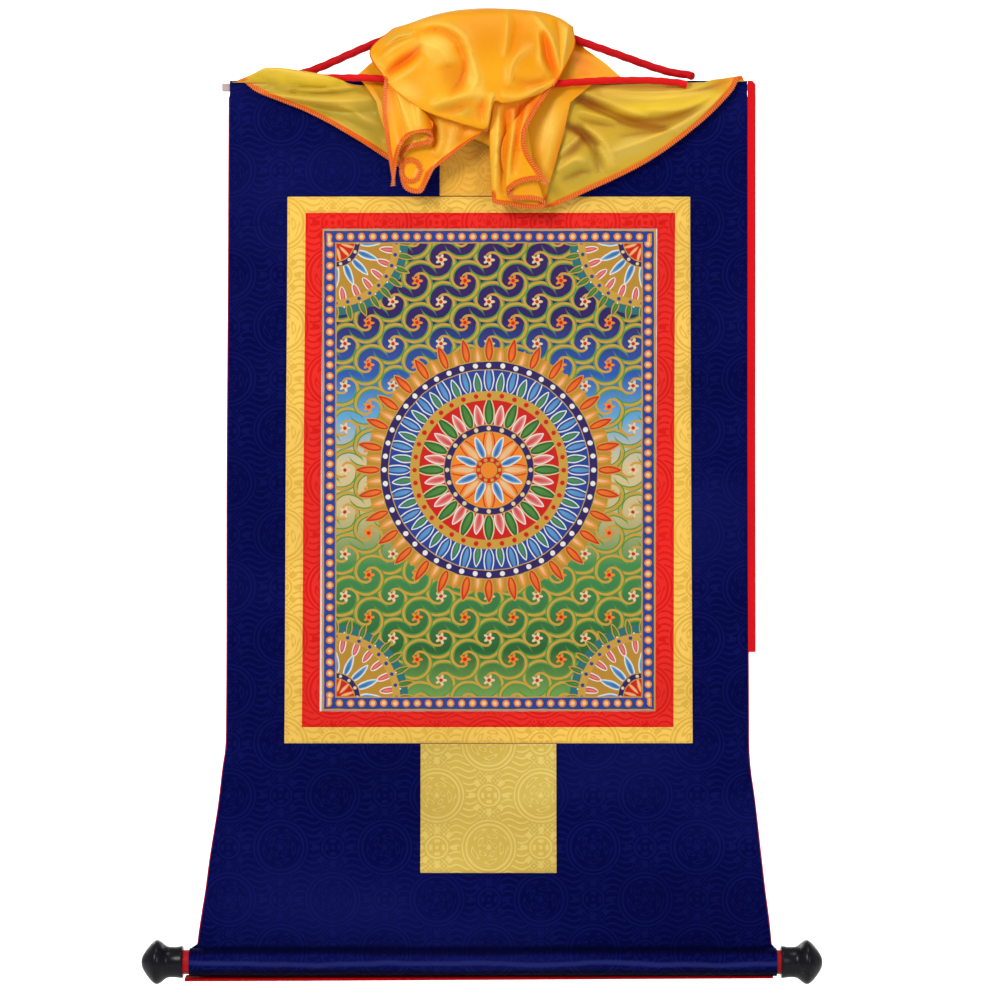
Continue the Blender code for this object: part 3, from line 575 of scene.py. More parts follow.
def smooth_rows(rows, step):
    """Rows a step apart along a table, 1 being a whole row, each column on a smooth curve."""
    kind, places = type(rows[0]), range(len(rows))
    return [
        kind(*(smooth_between(places, values, stop) for values in zip(*rows)))
        for stop in spread(0, places[-1], step)
    ]


def spread(start, end, step):
    """Evenly spaced values from start to end, about a step apart."""
    count = max(1, round(abs(end - start) / step))
    return [start + (end - start) * i / count for i in range(count + 1)]


def seam_spread(start, end, step):
    """As spread, with closer lines beside both ends, where a seam draws the cloth back."""
    way = math.copysign(1.0, end - start)
    close = [way * d for d in SEAM_LINES]
    middle = spread(start + close[-1], end - close[-1], step)
    return [start + d for d in close] + middle[1:-1] + [end - d for d in reversed(close)]


def merged(*runs):
    """Runs of values joined end to end without their shared ends."""
    values = list(runs[0])
    for run in runs[1:]:
        values.extend(run[1:])
    return values


def cloth_edge(x, z):
    """The x of a place on the cloth, which flares towards its lower edge."""
    side = "left" if x < 0 else "right"
    edge = abs(column(EDGES[::-1], side, z, "z"))
    straight = abs(getattr(EDGES[0], side))
    share = min(1.0, abs(x) / straight)
    return x + math.copysign((edge - straight) * share**3, x)


def swell(x, z):
    """How far the cloth stands forward of its plane at a place."""
    ahead = 0.0
    for row in SWELLS:
        away = ((x - row.x) / row.reach_x) ** 2 + ((z - row.z) / row.reach_z) ** 2
        ahead += row.height * math.exp(-away)
    calm = smooth_step(-CALM_ABOVE - 40, -CALM_ABOVE, -z)
    return ahead * calm * (1 - smooth_step(-CALM_BELOW, -CALM_BELOW + 20, -z))


def crumple(x, z, size, height):
    """A small unevenness of the cloth, the same each run."""
    return height * noise.noise(Vector((x / size, z / size, 3.7)))


def seam_dip(distance):
    """How far back a seam draws the cloth at a distance from it."""
    return SEAM_DIP * math.exp(-max(0.0, distance) / SEAM_REACH)


def distance_to(outline, x, z):
    """The distance of a place from a closed outline of corners."""
    best = 1e9
    for (ax, az), (bx, bz) in zip(outline, outline[1:] + outline[:1]):
        dx, dz = bx - ax, bz - az
        t = ((x - ax) * dx + (z - az) * dz) / (dx * dx + dz * dz)
        t = min(1.0, max(0.0, t))
        best = min(best, math.hypot(x - ax - t * dx, z - az - t * dz))
    return best


def on_cloth(x, z, depth, outline=None):
    """A place on a layer of the hanging cloth, drawn back beside its outline's seams."""
    back = depth - swell(x, z) - crumple(x, z, 46.0, 0.35) - crumple(x, z, 13.0, 0.1)
    if outline:
        back += seam_dip(distance_to(outline, x, z))
    return Vector((cloth_edge(x, z), back, z))


def corner_point(panel, right, down):
    """A place in a four-cornered panel: right and down run from 0 to 1."""
    left_x = panel.top_left + (panel.bottom_left - panel.top_left) * down
    right_x = panel.top_right + (panel.bottom_right - panel.top_right) * down
    return left_x + (right_x - left_x) * right, panel.top + (panel.bottom - panel.top) * down


def shrunk(panel, by):
    """The panel, smaller on every side."""
    return Panel(
        panel.top - by,
        panel.bottom + by,
        panel.top_left + by,
        panel.top_right - by,
        panel.bottom_left + by,
        panel.bottom_right - by,
    )


def normal_at(grid, i, j):
    """The unit normal of a grid of points at one of them."""
    last_i, last_j = len(grid) - 1, len(grid[0]) - 1
    down = grid[min(i + 1, last_i)][j] - grid[max(i - 1, 0)][j]
    across = grid[i][min(j + 1, last_j)] - grid[i][max(j - 1, 0)]
    return across.cross(down).normalized()


def sheet_object(name, grid, thick, material, kept=lambda i, j: True, paint=None, sharp=50):
    """A thin closed sheet on a grid of points through its middle, smooth but for its cut edges.

    paint gives a colour attribute's value (three numbers) for a grid place."""
    shape = bmesh.new()
    last_i, last_j = len(grid) - 1, len(grid[0]) - 1
    sides = ({}, {})
    layer = shape.verts.layers.float_color.new("paint") if paint else None
    cells = [(i, j) for i in range(last_i) for j in range(last_j) if kept(i, j)]
    for i, j in cells:
        for place in ((i, j), (i + 1, j), (i, j + 1), (i + 1, j + 1)):
            if place in sides[0]:
                continue
            offset = normal_at(grid, *place) * thick / 2
            for side, way in zip(sides, (1, -1)):
                vert = shape.verts.new(to_frame(grid[place[0]][place[1]] + offset * way))
                side[place] = vert
                if layer:
                    vert[layer] = (*paint(*place), 1.0)
    kept_cells = set(cells)
    for i, j in cells:
        corners = ((i, j), (i + 1, j), (i + 1, j + 1), (i, j + 1))
        beside = ((i, j - 1), (i + 1, j), (i, j + 1), (i - 1, j))
        shape.faces.new([sides[0][c] for c in corners])
        shape.faces.new([sides[1][c] for c in reversed(corners)])
        for k in range(4):
            if beside[k] in kept_cells:
                continue
            a, b = corners[k], corners[(k + 1) % 4]
            shape.faces.new((sides[0][b], sides[0][a], sides[1][a], sides[1][b]))
    return mesh_object(name, shape, material, sharp)


def to_frame(point):
    """A point in millimetres behind the cloth's front, in the frame's metres."""
    return Vector((point.x, point.y - HOOK_BEHIND, point.z)) * MM


def skin(shape, rings):
    """Adds a closed skin to a bmesh over rings of as many points each."""
    sides = len(rings[0])
    for a, b in zip(rings, rings[1:]):
        for s in range(sides):
            n = (s + 1) % sides
            shape.faces.new((a[s], a[n], b[n], b[s]))
    shape.faces.new(list(reversed(rings[0])))
    shape.faces.new(rings[-1])


def linked(name, data):
    """A new object in the scene that holds the data."""
    obj = bpy.data.objects.new(name, data)
    bpy.context.scene.collection.objects.link(obj)
    return obj


def mesh_object(name, shape, material, sharp=50):
    """Turns a bmesh into a smooth object that rides with the part."""
    bmesh.ops.recalc_face_normals(shape, faces=shape.faces)
    mesh = bpy.data.meshes.new(name)
    shape.to_mesh(mesh)
    shape.free()
    mesh.shade_smooth()
    mesh.set_sharp_from_angle(angle=math.radians(sharp))
    mesh.materials.append(material)
    obj = linked(name, mesh)
    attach(obj, "root")
    return obj


# ---------------------------------------------------------------- materials


class Sums:
    """A material's node tree, with sums written as Python and made into Math nodes."""

    def __init__(self, name):
        self.material = bpy.data.materials.new(name)
        self.material.use_nodes = True
        self.tree = self.material.node_tree
        self.shader = self.tree.nodes["Principled BSDF"]

    def node(self, kind, **values):
        made = self.tree.nodes.new(kind)
        for key, value in values.items():
            setattr(made, key, value)
        return made

    def feed(self, value, socket):
        """Puts a number, a colour or another node's output into a socket."""
        if isinstance(value, Sum):
            self.tree.links.new(value.socket, socket)
        elif isinstance(value, tuple):
            socket.default_value = (*value, 1.0)
        elif isinstance(value, (int, float)):
            socket.default_value = value
        else:
            self.tree.links.new(value, socket)

    def fill(self, node, **values):
        """Puts values into a node's inputs by name, with _ for a space."""
        for name, value in values.items():
            self.feed(value, node.inputs[name.replace("_", " ")])

    def maths(self, operation, *values):
        made = self.node("ShaderNodeMath", operation=operation)
        for value, socket in zip(values, made.inputs):
            self.feed(value, socket)
        return Sum(self, made.outputs[0])

    def place(self):
        """The surface's own x and z in millimetres."""
        coordinates = self.node("ShaderNodeTexCoord")
        apart = self.node("ShaderNodeSeparateXYZ")
        self.tree.links.new(coordinates.outputs["Object"], apart.inputs[0])
        return Sum(self, apart.outputs[0]) * 1000.0, Sum(self, apart.outputs[2]) * 1000.0

    def mix(self, share, first, second):
        """A colour between two, by a share from 0 to 1."""
        made = self.node("ShaderNodeMix", data_type="RGBA")
        self.fill(made, Factor=share, A=first, B=second)
        return made.outputs["Result"]

    def clouds(self, scale, detail=2.0, rough=0.5, stretch=None):
        """Noise from 0 to 1, scale being its lumps for each metre."""
        texture = self.node("ShaderNodeTexNoise")
        self.fill(texture, Scale=scale, Detail=detail, Roughness=rough)
        coordinates = self.node("ShaderNodeTexCoord")
        source = coordinates.outputs["Object"]
        if stretch:
            mapping = self.node("ShaderNodeMapping")
            mapping.inputs["Scale"].default_value = stretch
            self.tree.links.new(source, mapping.inputs["Vector"])
            source = mapping.outputs["Vector"]
        self.tree.links.new(source, texture.inputs["Vector"])
        return Sum(self, texture.outputs["Fac"])

    def bump(self, height, distance, strength=1.0, onto=None):
        """A bump from a height of 0 to 1 that stands distance metres high."""
        made = self.node("ShaderNodeBump")
        self.fill(made, Distance=distance, Strength=strength, Height=height)
        if onto:
            self.fill(made, Normal=onto)
        return made.outputs["Normal"]

    def set(self, **values):
        """Sets the Principled shader's inputs."""
        self.fill(self.shader, **values)


class Sum:
    """A number that a node puts out, open to Python's own arithmetic."""

    def __init__(self, owner, socket):
        self.owner, self.socket = owner, socket

    def __add__(self, other):
        return self.owner.maths("ADD", self, other)

    def __radd__(self, other):
        return self.owner.maths("ADD", other, self)

    def __sub__(self, other):
        return self.owner.maths("SUBTRACT", self, other)

    def __rsub__(self, other):
        return self.owner.maths("SUBTRACT", other, self)

    def __mul__(self, other):
        return self.owner.maths("MULTIPLY", self, other)

    def __rmul__(self, other):
        return self.owner.maths("MULTIPLY", other, self)

    def __truediv__(self, other):
        return self.owner.maths("DIVIDE", self, other)

    def on(self, operation, *others):
        return self.owner.maths(operation, self, *others)

    def clamped(self):
        """The value, held between 0 and 1."""
        return self.on("MAXIMUM", 0.0).on("MINIMUM", 1.0)

    def wave(self, period):
        """A sine wave from -1 to 1 that repeats after each period of the value."""
        return (self * (math.pi * 2 / period)).on("SINE")

    def within(self, middle, half, soft):
        """1 where the value is within half of middle, fading to 0 over soft."""
        away = (self - middle).on("ABSOLUTE")
        step = self.owner.node("ShaderNodeMapRange", interpolation_type="SMOOTHSTEP")
        self.owner.fill(step, Value=away, From_Min=half, From_Max=half + soft, To_Min=1.0, To_Max=0.0)
        return Sum(self.owner, step.outputs["Result"])


def length_of(x, z):
    """The length of a flat step."""
    return (x * x + z * z).on("SQRT")


def centred(value, period, shift=0.0):
    """The value's distance from the nearest repeat, from minus to plus half a period."""
    moved = (value + (shift + period * 0.5)) / period
    return (moved.on("FRACT") - 0.5) * period


def toned(colour, by, lift=0.0):
    """A colour made darker or lighter, with no part over 1."""
    return tuple(min(1.0, c * by + lift) for c in colour)


def woven_figure(sums, x, z):
    """The brocade's woven figure as a number from 0 to 1: staggered medallions of curling cloud in
    double rings, small ring flowers with bars round them, a diamond lattice with dots, and bands of
    wavy lines."""
    repeat = 104.0
    half = repeat / 2

    def medallion(shift_x, shift_z):
        dx, dz = centred(x, repeat, shift_x), centred(z, repeat, shift_z)
        away = length_of(dx, dz)
        turn = dz.on("ARCTAN2", dx)
        curl = (turn * 3.0 + away * 0.62).on("SINE") * (turn * 2.0 - away * 0.35).on("SINE")
        inside = away.within(0.0, 19.0, 1.2)
        figure = curl.within(0.35, 0.2, 0.1) * inside
        rings = away.within(26.6, 0.7, 0.5).on("MAXIMUM", away.within(22.6, 0.9, 0.5))
        hub = away.within(0.0, 2.4, 0.4)
        body = rings.on("MAXIMUM", figure).on("MAXIMUM", hub)
        return body, away

    def ring_flower(shift_x, shift_z):
        dx, dz = centred(x, repeat, shift_x), centred(z, repeat, shift_z)
        away = length_of(dx, dz)
        turn = dz.on("ARCTAN2", dx)
        petals = away.within(6.4, 1.5, 0.5) * (turn * 4.0).on("COSINE").within(1.0, 1.05, 0.25)
        body = away.within(10.6, 0.8, 0.5).on("MAXIMUM", petals)
        body = body.on("MAXIMUM", away.within(0.0, 1.8, 0.4))
        bars = away.within(17.0, 3.2, 0.5) * (turn * 8.0).on("COSINE").within(1.0, 0.55, 0.2)
        return body.on("MAXIMUM", bars), away

    first, first_away = medallion(0.0, 0.0)
    second, second_away = medallion(half, half)
    flower, flower_away = ring_flower(half, 0.0)
    other, other_away = ring_flower(0.0, half)
    open_ground = (
        first_away.within(0.0, 28.6, 0.4)
        .on("MAXIMUM", second_away.within(0.0, 28.6, 0.4))
        .on("MAXIMUM", flower_away.within(0.0, 12.6, 0.4))
        .on("MAXIMUM", other_away.within(0.0, 12.6, 0.4))
    )
    rising, falling = centred(x + z, 9.0), centred(x - z, 9.0)
    lattice = rising.within(0.0, 0.5, 0.45).on("MAXIMUM", falling.within(0.0, 0.5, 0.45))
    dots = length_of(rising.on("ABSOLUTE") - 4.5, falling.on("ABSOLUTE") - 4.5)
    dots = dots.within(0.0, 1.3, 0.4)
    waves = centred(z + x.wave(26.0) * 2.2, 6.5).within(0.0, 0.8, 0.5)
    banded = centred(x + 26.0, half).within(0.0, 13.0, 1.0)
    filling = lattice.on("MAXIMUM", dots) * (1.0 - banded) + waves * banded
    figures = first.on("MAXIMUM", second).on("MAXIMUM", flower).on("MAXIMUM", other)
    return figures.on("MAXIMUM", filling * (1.0 - open_ground))


def brocade(name, ground, figure, rough, lift, shine, bands):
    """A satin ground with a woven figure, with painted light and shade in broad stretches and, where
    bands of a height are given, their painted shade and light. lift is the figure's height in metres."""
    sums = Sums(name)
    x, z = sums.place()
    drift = sums.clouds(26.0, 3.0)
    mask = woven_figure(sums, x + (drift - 0.5) * 1.6, z)
    threads = z.wave(THREADS_APART) * 0.5 + 0.5
    ribs = x.wave(RIBS_APART) * 0.5 + 0.5
    # Lumps about a tenth of a metre across that vary how strongly the figure shows, as painted light
    # and shade of the swells, and vary the roughness.
    swell_shading = sums.clouds(9.0, 4.0, 0.6)
    shade = mask * (0.78 + swell_shading * 0.3)
    colour = sums.mix(shade.on("MINIMUM", 1.0), ground, figure)
    deep = toned(ground, 0.62)
    colour = sums.mix((threads * 0.16).on("MINIMUM", 1.0), colour, deep)
    # Painted highlights and painted shade in broad horizontal waves, for the light and shade on the
    # cloth's swells.
    light = toned(figure, 1.3, 0.004)
    waves = sums.clouds(4.2, 2.0, 0.5, stretch=(0.8, 1.0, 2.2))
    colour = sums.mix((waves - 0.5).on("MAXIMUM", 0.0) * 1.5, colour, light)
    colour = sums.mix((0.5 - waves).on("MAXIMUM", 0.0) * 1.8, colour, deep)
    # Painted shade and light in bands of height, such as those along the roll.
    for row in bands:
        wander = (sums.clouds(row.lumps, 2.0) - 0.5) * row.wander
        share = (z + wander).within(row.z, row.half, row.soft) * row.share
        colour = sums.mix(share, colour, row.tint)
    weave = sums.bump(threads * 0.6 + ribs * 0.4, 0.00007, 0.5)
    relief = sums.bump(mask, lift, 1.0, onto=weave)
    sums.set(
        Base_Color=colour,
        Roughness=rough - mask * 0.14 + (swell_shading - 0.5) * 0.1,
        Normal=relief,
        Specular_IOR_Level=shine,
        Specular_Tint=toned(figure, 1.0, 0.25),
    )
    return sums.material


def plain_cloth(name, colour, rough, thread):
    """A plain weave with threads a given number of millimetres apart."""
    sums = Sums(name)
    x, z = sums.place()
    over = x.wave(thread) * z.wave(thread)
    patches = sums.clouds(14.0, 4.0, 0.6)
    shade = sums.mix(patches, toned(colour, 0.8), toned(colour, 1.15))
    sums.set(
        Base_Color=shade,
        Roughness=rough,
        Normal=sums.bump(over * 0.5 + 0.5, 0.00012, 0.6),
        Specular_IOR_Level=0.12,
    )
    return sums.material


# The picture's paints, as linear red, green and blue.
INDIGO, BLUE, SKY = (0.02, 0.01, 0.12), (0.01, 0.05, 0.3), (0.13, 0.4, 0.68)
TEAL, GREEN, LEAF = (0.015, 0.16, 0.17), (0.015, 0.12, 0.03), (0.09, 0.3, 0.05)
RUBY, ORANGE, PINK = (0.62, 0.008, 0.01), (0.88, 0.24, 0.02), (0.8, 0.27, 0.25)
CREAM, WHITE, GILT = (0.8, 0.62, 0.34), (0.84, 0.82, 0.76), (0.6, 0.34, 0.05)

# Rings of petals from the outside in: how many, from and to which radius, how wide each is, how
# far round it is turned as a share of a petal, and its three paints.
ROSETTE = table(
    "count inner outer wide turned fill heart rim",
    (32, 108, 134, 10.5, 0.0, RUBY, ORANGE, GILT),
    (32, 104, 124, 8.5, 0.5, ORANGE, CREAM, GILT),
    (24, 78, 108, 11.0, 0.0, BLUE, SKY, WHITE),
    (24, 76, 98, 9.0, 0.5, TEAL, LEAF, WHITE),
    (16, 44, 74, 12.0, 0.0, GREEN, LEAF, CREAM),
    (16, 42, 66, 10.0, 0.5, PINK, RUBY, WHITE),
    (8, 12, 44, 13.0, 0.0, ORANGE, CREAM, RUBY),
    (8, 12, 36, 9.0, 0.5, SKY, BLUE, WHITE),
)
OCHRE = (0.5, 0.26, 0.03)
# Plain discs under the petals.
DISCS = table("radius paint", (122.0, OCHRE), (104.0, BLUE), (74.0, RUBY), (41.0, ORANGE))
# Plain bands between them, each with a ring of beads.
BANDS = table(
    "radius half paint beads bead_radius bead_paint",
    (104.5, 3.6, INDIGO, 48, 2.3, WHITE),
    (74.5, 3.4, GILT, 36, 2.1, RUBY),
    (41.5, 2.8, INDIGO, 20, 1.9, CREAM),
    (10.5, 2.2, RUBY, 10, 1.5, GILT),
)
CORNER_ROSETTE = table(
    "count inner outer wide turned fill heart rim",
    (32, 62, 80, 7.0, 0.0, GREEN, LEAF, GILT),
    (24, 44, 66, 7.5, 0.5, RUBY, PINK, WHITE),
    (16, 22, 46, 8.0, 0.0, SKY, BLUE, WHITE),
    (12, 4, 24, 6.0, 0.5, ORANGE, CREAM, RUBY),
)
CORNER_DISCS = table("radius paint", (72.0, TEAL), (60.0, OCHRE), (21.0, RUBY))
CORNER_BANDS = table(
    "radius half paint beads bead_radius bead_paint",
    (60.5, 2.6, GILT, 32, 1.6, BLUE),
    (21.5, 2.2, INDIGO, 14, 1.4, CREAM),
)


# The field's shades from its upper edge down, by the height from the picture's middle.
FIELD = table(
    "z paint",
    (215, (0.03, 0.008, 0.11)),
    (150, INDIGO),
    (95, (0.02, 0.1, 0.42)),
    (50, SKY),
    (5, (0.7, 0.56, 0.3)),
    (-40, (0.62, 0.5, 0.24)),
    (-95, (0.05, 0.26, 0.08)),
    (-180, GREEN),
    (-225, (0.16, 0.34, 0.08)),
)


def petal_ring(sums, colour, row, away, turn):
    """Paints one ring of petals over a colour."""
    step = 2 * math.pi / row.count
    reach = ((away - row.inner) / (row.outer - row.inner)).clamped()
    half = (reach.on("POWER", 0.8) * math.pi).on("SINE").on("POWER", 0.6) * (row.wide / 2)
    inside = half - (centred(turn, step, row.turned * step) * away).on("ABSOLUTE")
    body = (inside * 2.0).clamped()
    inner = ((inside - 1.1) * 1.6).clamped()
    heart = ((inside - row.wide * 0.24) * 0.9).clamped()
    colour = sums.mix(body, colour, row.rim)
    colour = sums.mix(inner, colour, row.fill)
    return sums.mix(heart * (0.9 - reach * 0.5), colour, row.heart)


def beaded_band(sums, colour, row, away, turn):
    """Paints one round band with its beads over a colour."""
    colour = sums.mix(away.within(row.radius, row.half + 0.9, 0.5), colour, GILT)
    colour = sums.mix(away.within(row.radius, row.half, 0.5), colour, row.paint)
    along = centred(turn, 2 * math.pi / row.beads) * away
    bead = length_of(along, away - row.radius).within(0.0, row.bead_radius, 0.5)
    return sums.mix(bead, colour, row.bead_paint)


def rosette(sums, colour, discs, rings, bands, x, z):
    """Paints discs, rings of petals and beaded bands round a place over a colour."""
    away, turn = length_of(x, z), z.on("ARCTAN2", x)
    for row in discs:
        colour = sums.mix(away.within(0.0, row.radius, 0.8), colour, row.paint)
    for row in rings:
        colour = petal_ring(sums, colour, row, away, turn)
    for row in bands:
        colour = beaded_band(sums, colour, row, away, turn)
    return colour


def vine_field(sums, colour, x, z):
    """Paints staggered curling vines with small flowers over a colour."""
    for shift_x, shift_z, paint in ((0.0, 0.0, CREAM), (24.0, 21.0, ORANGE)):
        dx, dz = centred(x, 48.0, shift_x), centred(z, 42.0, shift_z)
        away, turn = length_of(dx, dz), dz.on("ARCTAN2", dx)
        curl = (turn * 2.0 + away * 0.5).on("COSINE")
        vine = curl.within(1.0, 0.14, 0.16) * away.within(13.0, 8.0, 1.0)
        leaf = curl.within(0.45, 0.22, 0.16) * away.within(16.0, 4.5, 1.0)
        colour = sums.mix(leaf, colour, LEAF)
        colour = sums.mix(vine, colour, GILT)
        flower = (turn * 5.0).on("COSINE") * 1.6 + 4.6
        inside = ((flower - away) * 1.6).clamped()
        colour = sums.mix(inside, colour, paint)
        colour = sums.mix(away.within(0.0, 1.6, 0.5), colour, RUBY)
    return colour


def painted_cloth():
    """The picture's cloth: a rosette with four corner rosettes on a field of vines, which shades
    from indigo by pale blue to green, inside a beaded border and a thin pale edge."""
    sums = Sums("painted_cloth")
    x, z = sums.place()
    wide, tall = (PICTURE.top_right - PICTURE.top_left) / 2, (PICTURE.top - PICTURE.bottom) / 2
    hand = sums.clouds(70.0, 2.0)
    x = x + (hand - 0.5) * 1.6
    z = z - (PICTURE.top + PICTURE.bottom) / 2 + (sums.clouds(90.0, 2.0) - 0.5) * 1.6
    colour = FIELD[0].paint
    for above, below in zip(FIELD, FIELD[1:]):
        share = ((above.z - z) / (above.z - below.z)).clamped()
        colour = sums.mix(share, colour, below.paint)
    colour = vine_field(sums, colour, x, z)
    corner_x, corner_z = x.on("ABSOLUTE") - (wide - 14.0), z.on("ABSOLUTE") - (tall - 14.0)
    colour = rosette(sums, colour, CORNER_DISCS, CORNER_ROSETTE, CORNER_BANDS, corner_x, corner_z)
    colour = rosette(sums, colour, DISCS, ROSETTE, BANDS, x, z)
    edge = (x.on("ABSOLUTE") - (wide - tall)).on("MAXIMUM", z.on("ABSOLUTE")) - (tall - 14.0)
    colour = sums.mix((edge + 1.2).clamped(), colour, GILT)
    colour = sums.mix(edge.clamped(), colour, BLUE)
    run_x, run_z = centred(x, 11.1, 5.0), centred(z, 11.0, 5.0)
    beside = z.on("ABSOLUTE").on("GREATER_THAN", tall - 13.0)
    run = run_x * beside + run_z * (1.0 - beside)
    bead = length_of(run, edge - 6.0).within(0.0, 3.4, 0.5)
    colour = sums.mix(bead, colour, ORANGE)
    colour = sums.mix(length_of(run, edge - 6.0).within(0.0, 1.7, 0.5), colour, CREAM)
    colour = sums.mix(edge.within(12.6, 0.7, 0.3), colour, GILT)
    colour = sums.mix((edge - 13.4).clamped(), colour, WHITE)
    aged = sums.clouds(12.0, 5.0, 0.62)
    colour = sums.mix(aged * 0.12, colour, (0.2, 0.13, 0.05))
    plain_x, plain_z = sums.place()
    weave = plain_x.wave(CANVAS_THREAD) * plain_z.wave(CANVAS_THREAD)
    sums.set(
        Base_Color=colour,
        Roughness=0.55 + (aged - 0.5) * 0.2,
        Normal=sums.bump(weave * 0.5 + 0.5, 0.0001, 0.5),
        Specular_IOR_Level=0.12,
    )
    return sums.material


def silk():
    """Thin golden silk: its colour, painted shade and painted highlights come from the sheet's paint
    attribute, and fine threads catch the light.
    """
    sums = Sums("veil_silk")
    paint = sums.node("ShaderNodeVertexColor", layer_name="paint")
    slubs = sums.clouds(60.0, 3.0, 0.6, stretch=(1.0, 1.0, 9.0))
    wavy = sums.clouds(16.0, 3.0, 0.55)
    colour = sums.mix(slubs * 0.12, paint.outputs["Color"], (0.7, 0.2, 0.002))
    fine = sums.bump(slubs, 0.0002, 0.3)
    rucks = (wavy - 0.5).on("ABSOLUTE") * 2.0
    sums.set(
        Base_Color=colour,
        Roughness=0.36 + (wavy - 0.5) * 0.12,
        Normal=sums.bump(rucks, 0.002, 0.35, onto=fine),
        Sheen_Weight=0.06,
        Sheen_Roughness=0.3,
        Sheen_Tint=(1.0, 0.7, 0.2),
        Anisotropic=0.3,
        Specular_IOR_Level=0.28,
        Specular_Tint=(1.0, 0.8, 0.45),
    )
    return sums.material


def thread_silk(name, colour, rough=0.5):
    """Twisted thread or cord."""
    sums = Sums(name)
    fibres = sums.clouds(900.0, 3.0, 0.6, stretch=(0.4, 1.0, 1.0))
    patches = sums.clouds(40.0, 3.0)
    shade = sums.mix(patches, toned(colour, 0.72), toned(colour, 1.2))
    sums.set(
        Base_Color=shade,
        Roughness=rough,
        Normal=sums.bump(fibres, 0.0003, 0.5),
        Specular_IOR_Level=0.2,
        Specular_Tint=toned(colour, 1.0, 0.3),
    )
    return sums.material


def lacquer():
    """Black lacquer over turned wood."""
    sums = Sums("black_lacquer")
    patches = sums.clouds(30.0, 4.0, 0.6)
    sums.set(
        Base_Color=sums.mix(patches, (0.0025, 0.0025, 0.005), (0.008, 0.007, 0.011)),
        Roughness=0.2 + patches * 0.14,
        Normal=sums.bump(sums.clouds(160.0, 2.0), 0.0001, 0.3),
        Specular_IOR_Level=0.22,
    )
    return sums.material


def wood(name, dark, light, rough):
    """Wood with grain along x."""
    sums = Sums(name)
    grain = sums.clouds(80.0, 5.0, 0.6, stretch=(0.06, 1.0, 1.0))
    sums.set(
        Base_Color=sums.mix(grain, dark, light),
        Roughness=rough,
        Normal=sums.bump(grain, 0.0002, 0.5),
        Specular_IOR_Level=0.15,
    )
    return sums.material


# ---------------------------------------------------------------- pieces


def set_camera():
    """The photo's view: square on, one photo pixel to a millimetre."""
    data = bpy.data.cameras.new("camera")
    camera = linked("camera", data)
    camera.location = (PHOTO_CENTRE_X * MM, -CAMERA_AWAY, PHOTO_CENTRE_Z * MM)
    camera.rotation_euler = (math.radians(90), 0, 0)
    data.sensor_width = SENSOR
    data.lens = SENSOR * CAMERA_AWAY / (PHOTO_SIDE * MM)
    bpy.context.scene.camera = camera


def route_points(route):
    """A smooth line of points along a cord's route, in millimetres, a step apart."""
    points = [Vector((row.x, row.depth, row.z)) for row in route]
    reached = [0.0]
    for a, b in zip(points, points[1:]):
        reached.append(reached[-1] + (b - a).length)
    stops = spread(0.0, reached[-1], TUBE_STEP)
    return [smooth_between(reached, points, stop) for stop in stops]


def build_cord(node, route, thick, material):
    """A cord of twisted strands along its route, closed flat at both ends."""
    line = route_points(route)
    shape = bmesh.new()
    rings = []
    up = Vector((0, 1, 0))
    travelled = 0.0
    for k, point in enumerate(line):
        ahead = (line[min(k + 1, len(line) - 1)] - line[max(k - 1, 0)]).normalized()
        side = ahead.cross(up).normalized()
        over = side.cross(ahead).normalized()
        if k:
            travelled += (point - line[k - 1]).length
        ring = []
        for s in range(TUBE_SIDES):
            turn = 2 * math.pi * s / TUBE_SIDES
            wave = math.cos(TWIST_STRANDS * turn + 2 * math.pi * travelled / TWIST_PITCH)
            radius = thick / 2 * (1 + TWIST_DEPTH * wave)
            offset = side * math.cos(turn) * radius + over * math.sin(turn) * radius
            ring.append(shape.verts.new(to_frame(point + offset)))
        rings.append(ring)
    skin(shape, rings)
    cord = mesh_object(f"{node}_twisted", shape, material, sharp=60)
    length = sum((b - a).length for a, b in zip(line, line[1:])) * MM
    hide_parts(node)
    return cord


def topstitch(name, lines, outline, depth, material):
    """A running stitch along straight lines on the hanging cloth, standing on a layer's front."""
    shape = bmesh.new()
    for start, end in lines:
        way = (end - start).normalized()
        for s in spread(0.0, (end - start).length - TOPSTITCH_LONG, TOPSTITCH_APART):
            bar = []
            for t, rise in ((0.0, 0.0), (0.3, TOPSTITCH_LIFT), (0.7, TOPSTITCH_LIFT), (1.0, 0.0)):
                place = start + way * (s + t * TOPSTITCH_LONG)
                bar.append(on_cloth(place.x, place.y, depth - rise, outline))
            add_tube(shape, bar, TOPSTITCH_RADIUS, TOPSTITCH_SIDES)
    return mesh_object(name, shape, material, sharp=70)


def flat_panel(node, panel, depth, thick, step, material, thread=None):
    """A four-cornered cloth panel on the hanging cloth, its edges drawn back as seams."""
    wide = panel.top_right - panel.top_left
    tall = panel.top - panel.bottom
    outline = [corner_point(panel, *c) for c in CORNERS]
    across = [s / wide for s in seam_spread(0, wide, step)]
    down = [s / tall for s in seam_spread(0, tall, step)]
    grid = []
    for v in down:
        places = [corner_point(panel, u, v) for u in across]
        grid.append([on_cloth(x, z, depth, outline) for x, z in places])
    obj = sheet_object(f"{node}_cloth", grid, thick, material)
    sewn = []
    if thread:
        inner = shrunk(panel, TOPSTITCH_IN)
        corners = [Vector(corner_point(inner, *c)) for c in CORNERS]
        lines = list(zip(corners, corners[1:] + corners[:1]))
        sewn = [topstitch(f"{node}_stitches", lines, outline, depth - thick / 2, thread)]
    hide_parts(node)
    wide * MM
    tall * MM
    return obj


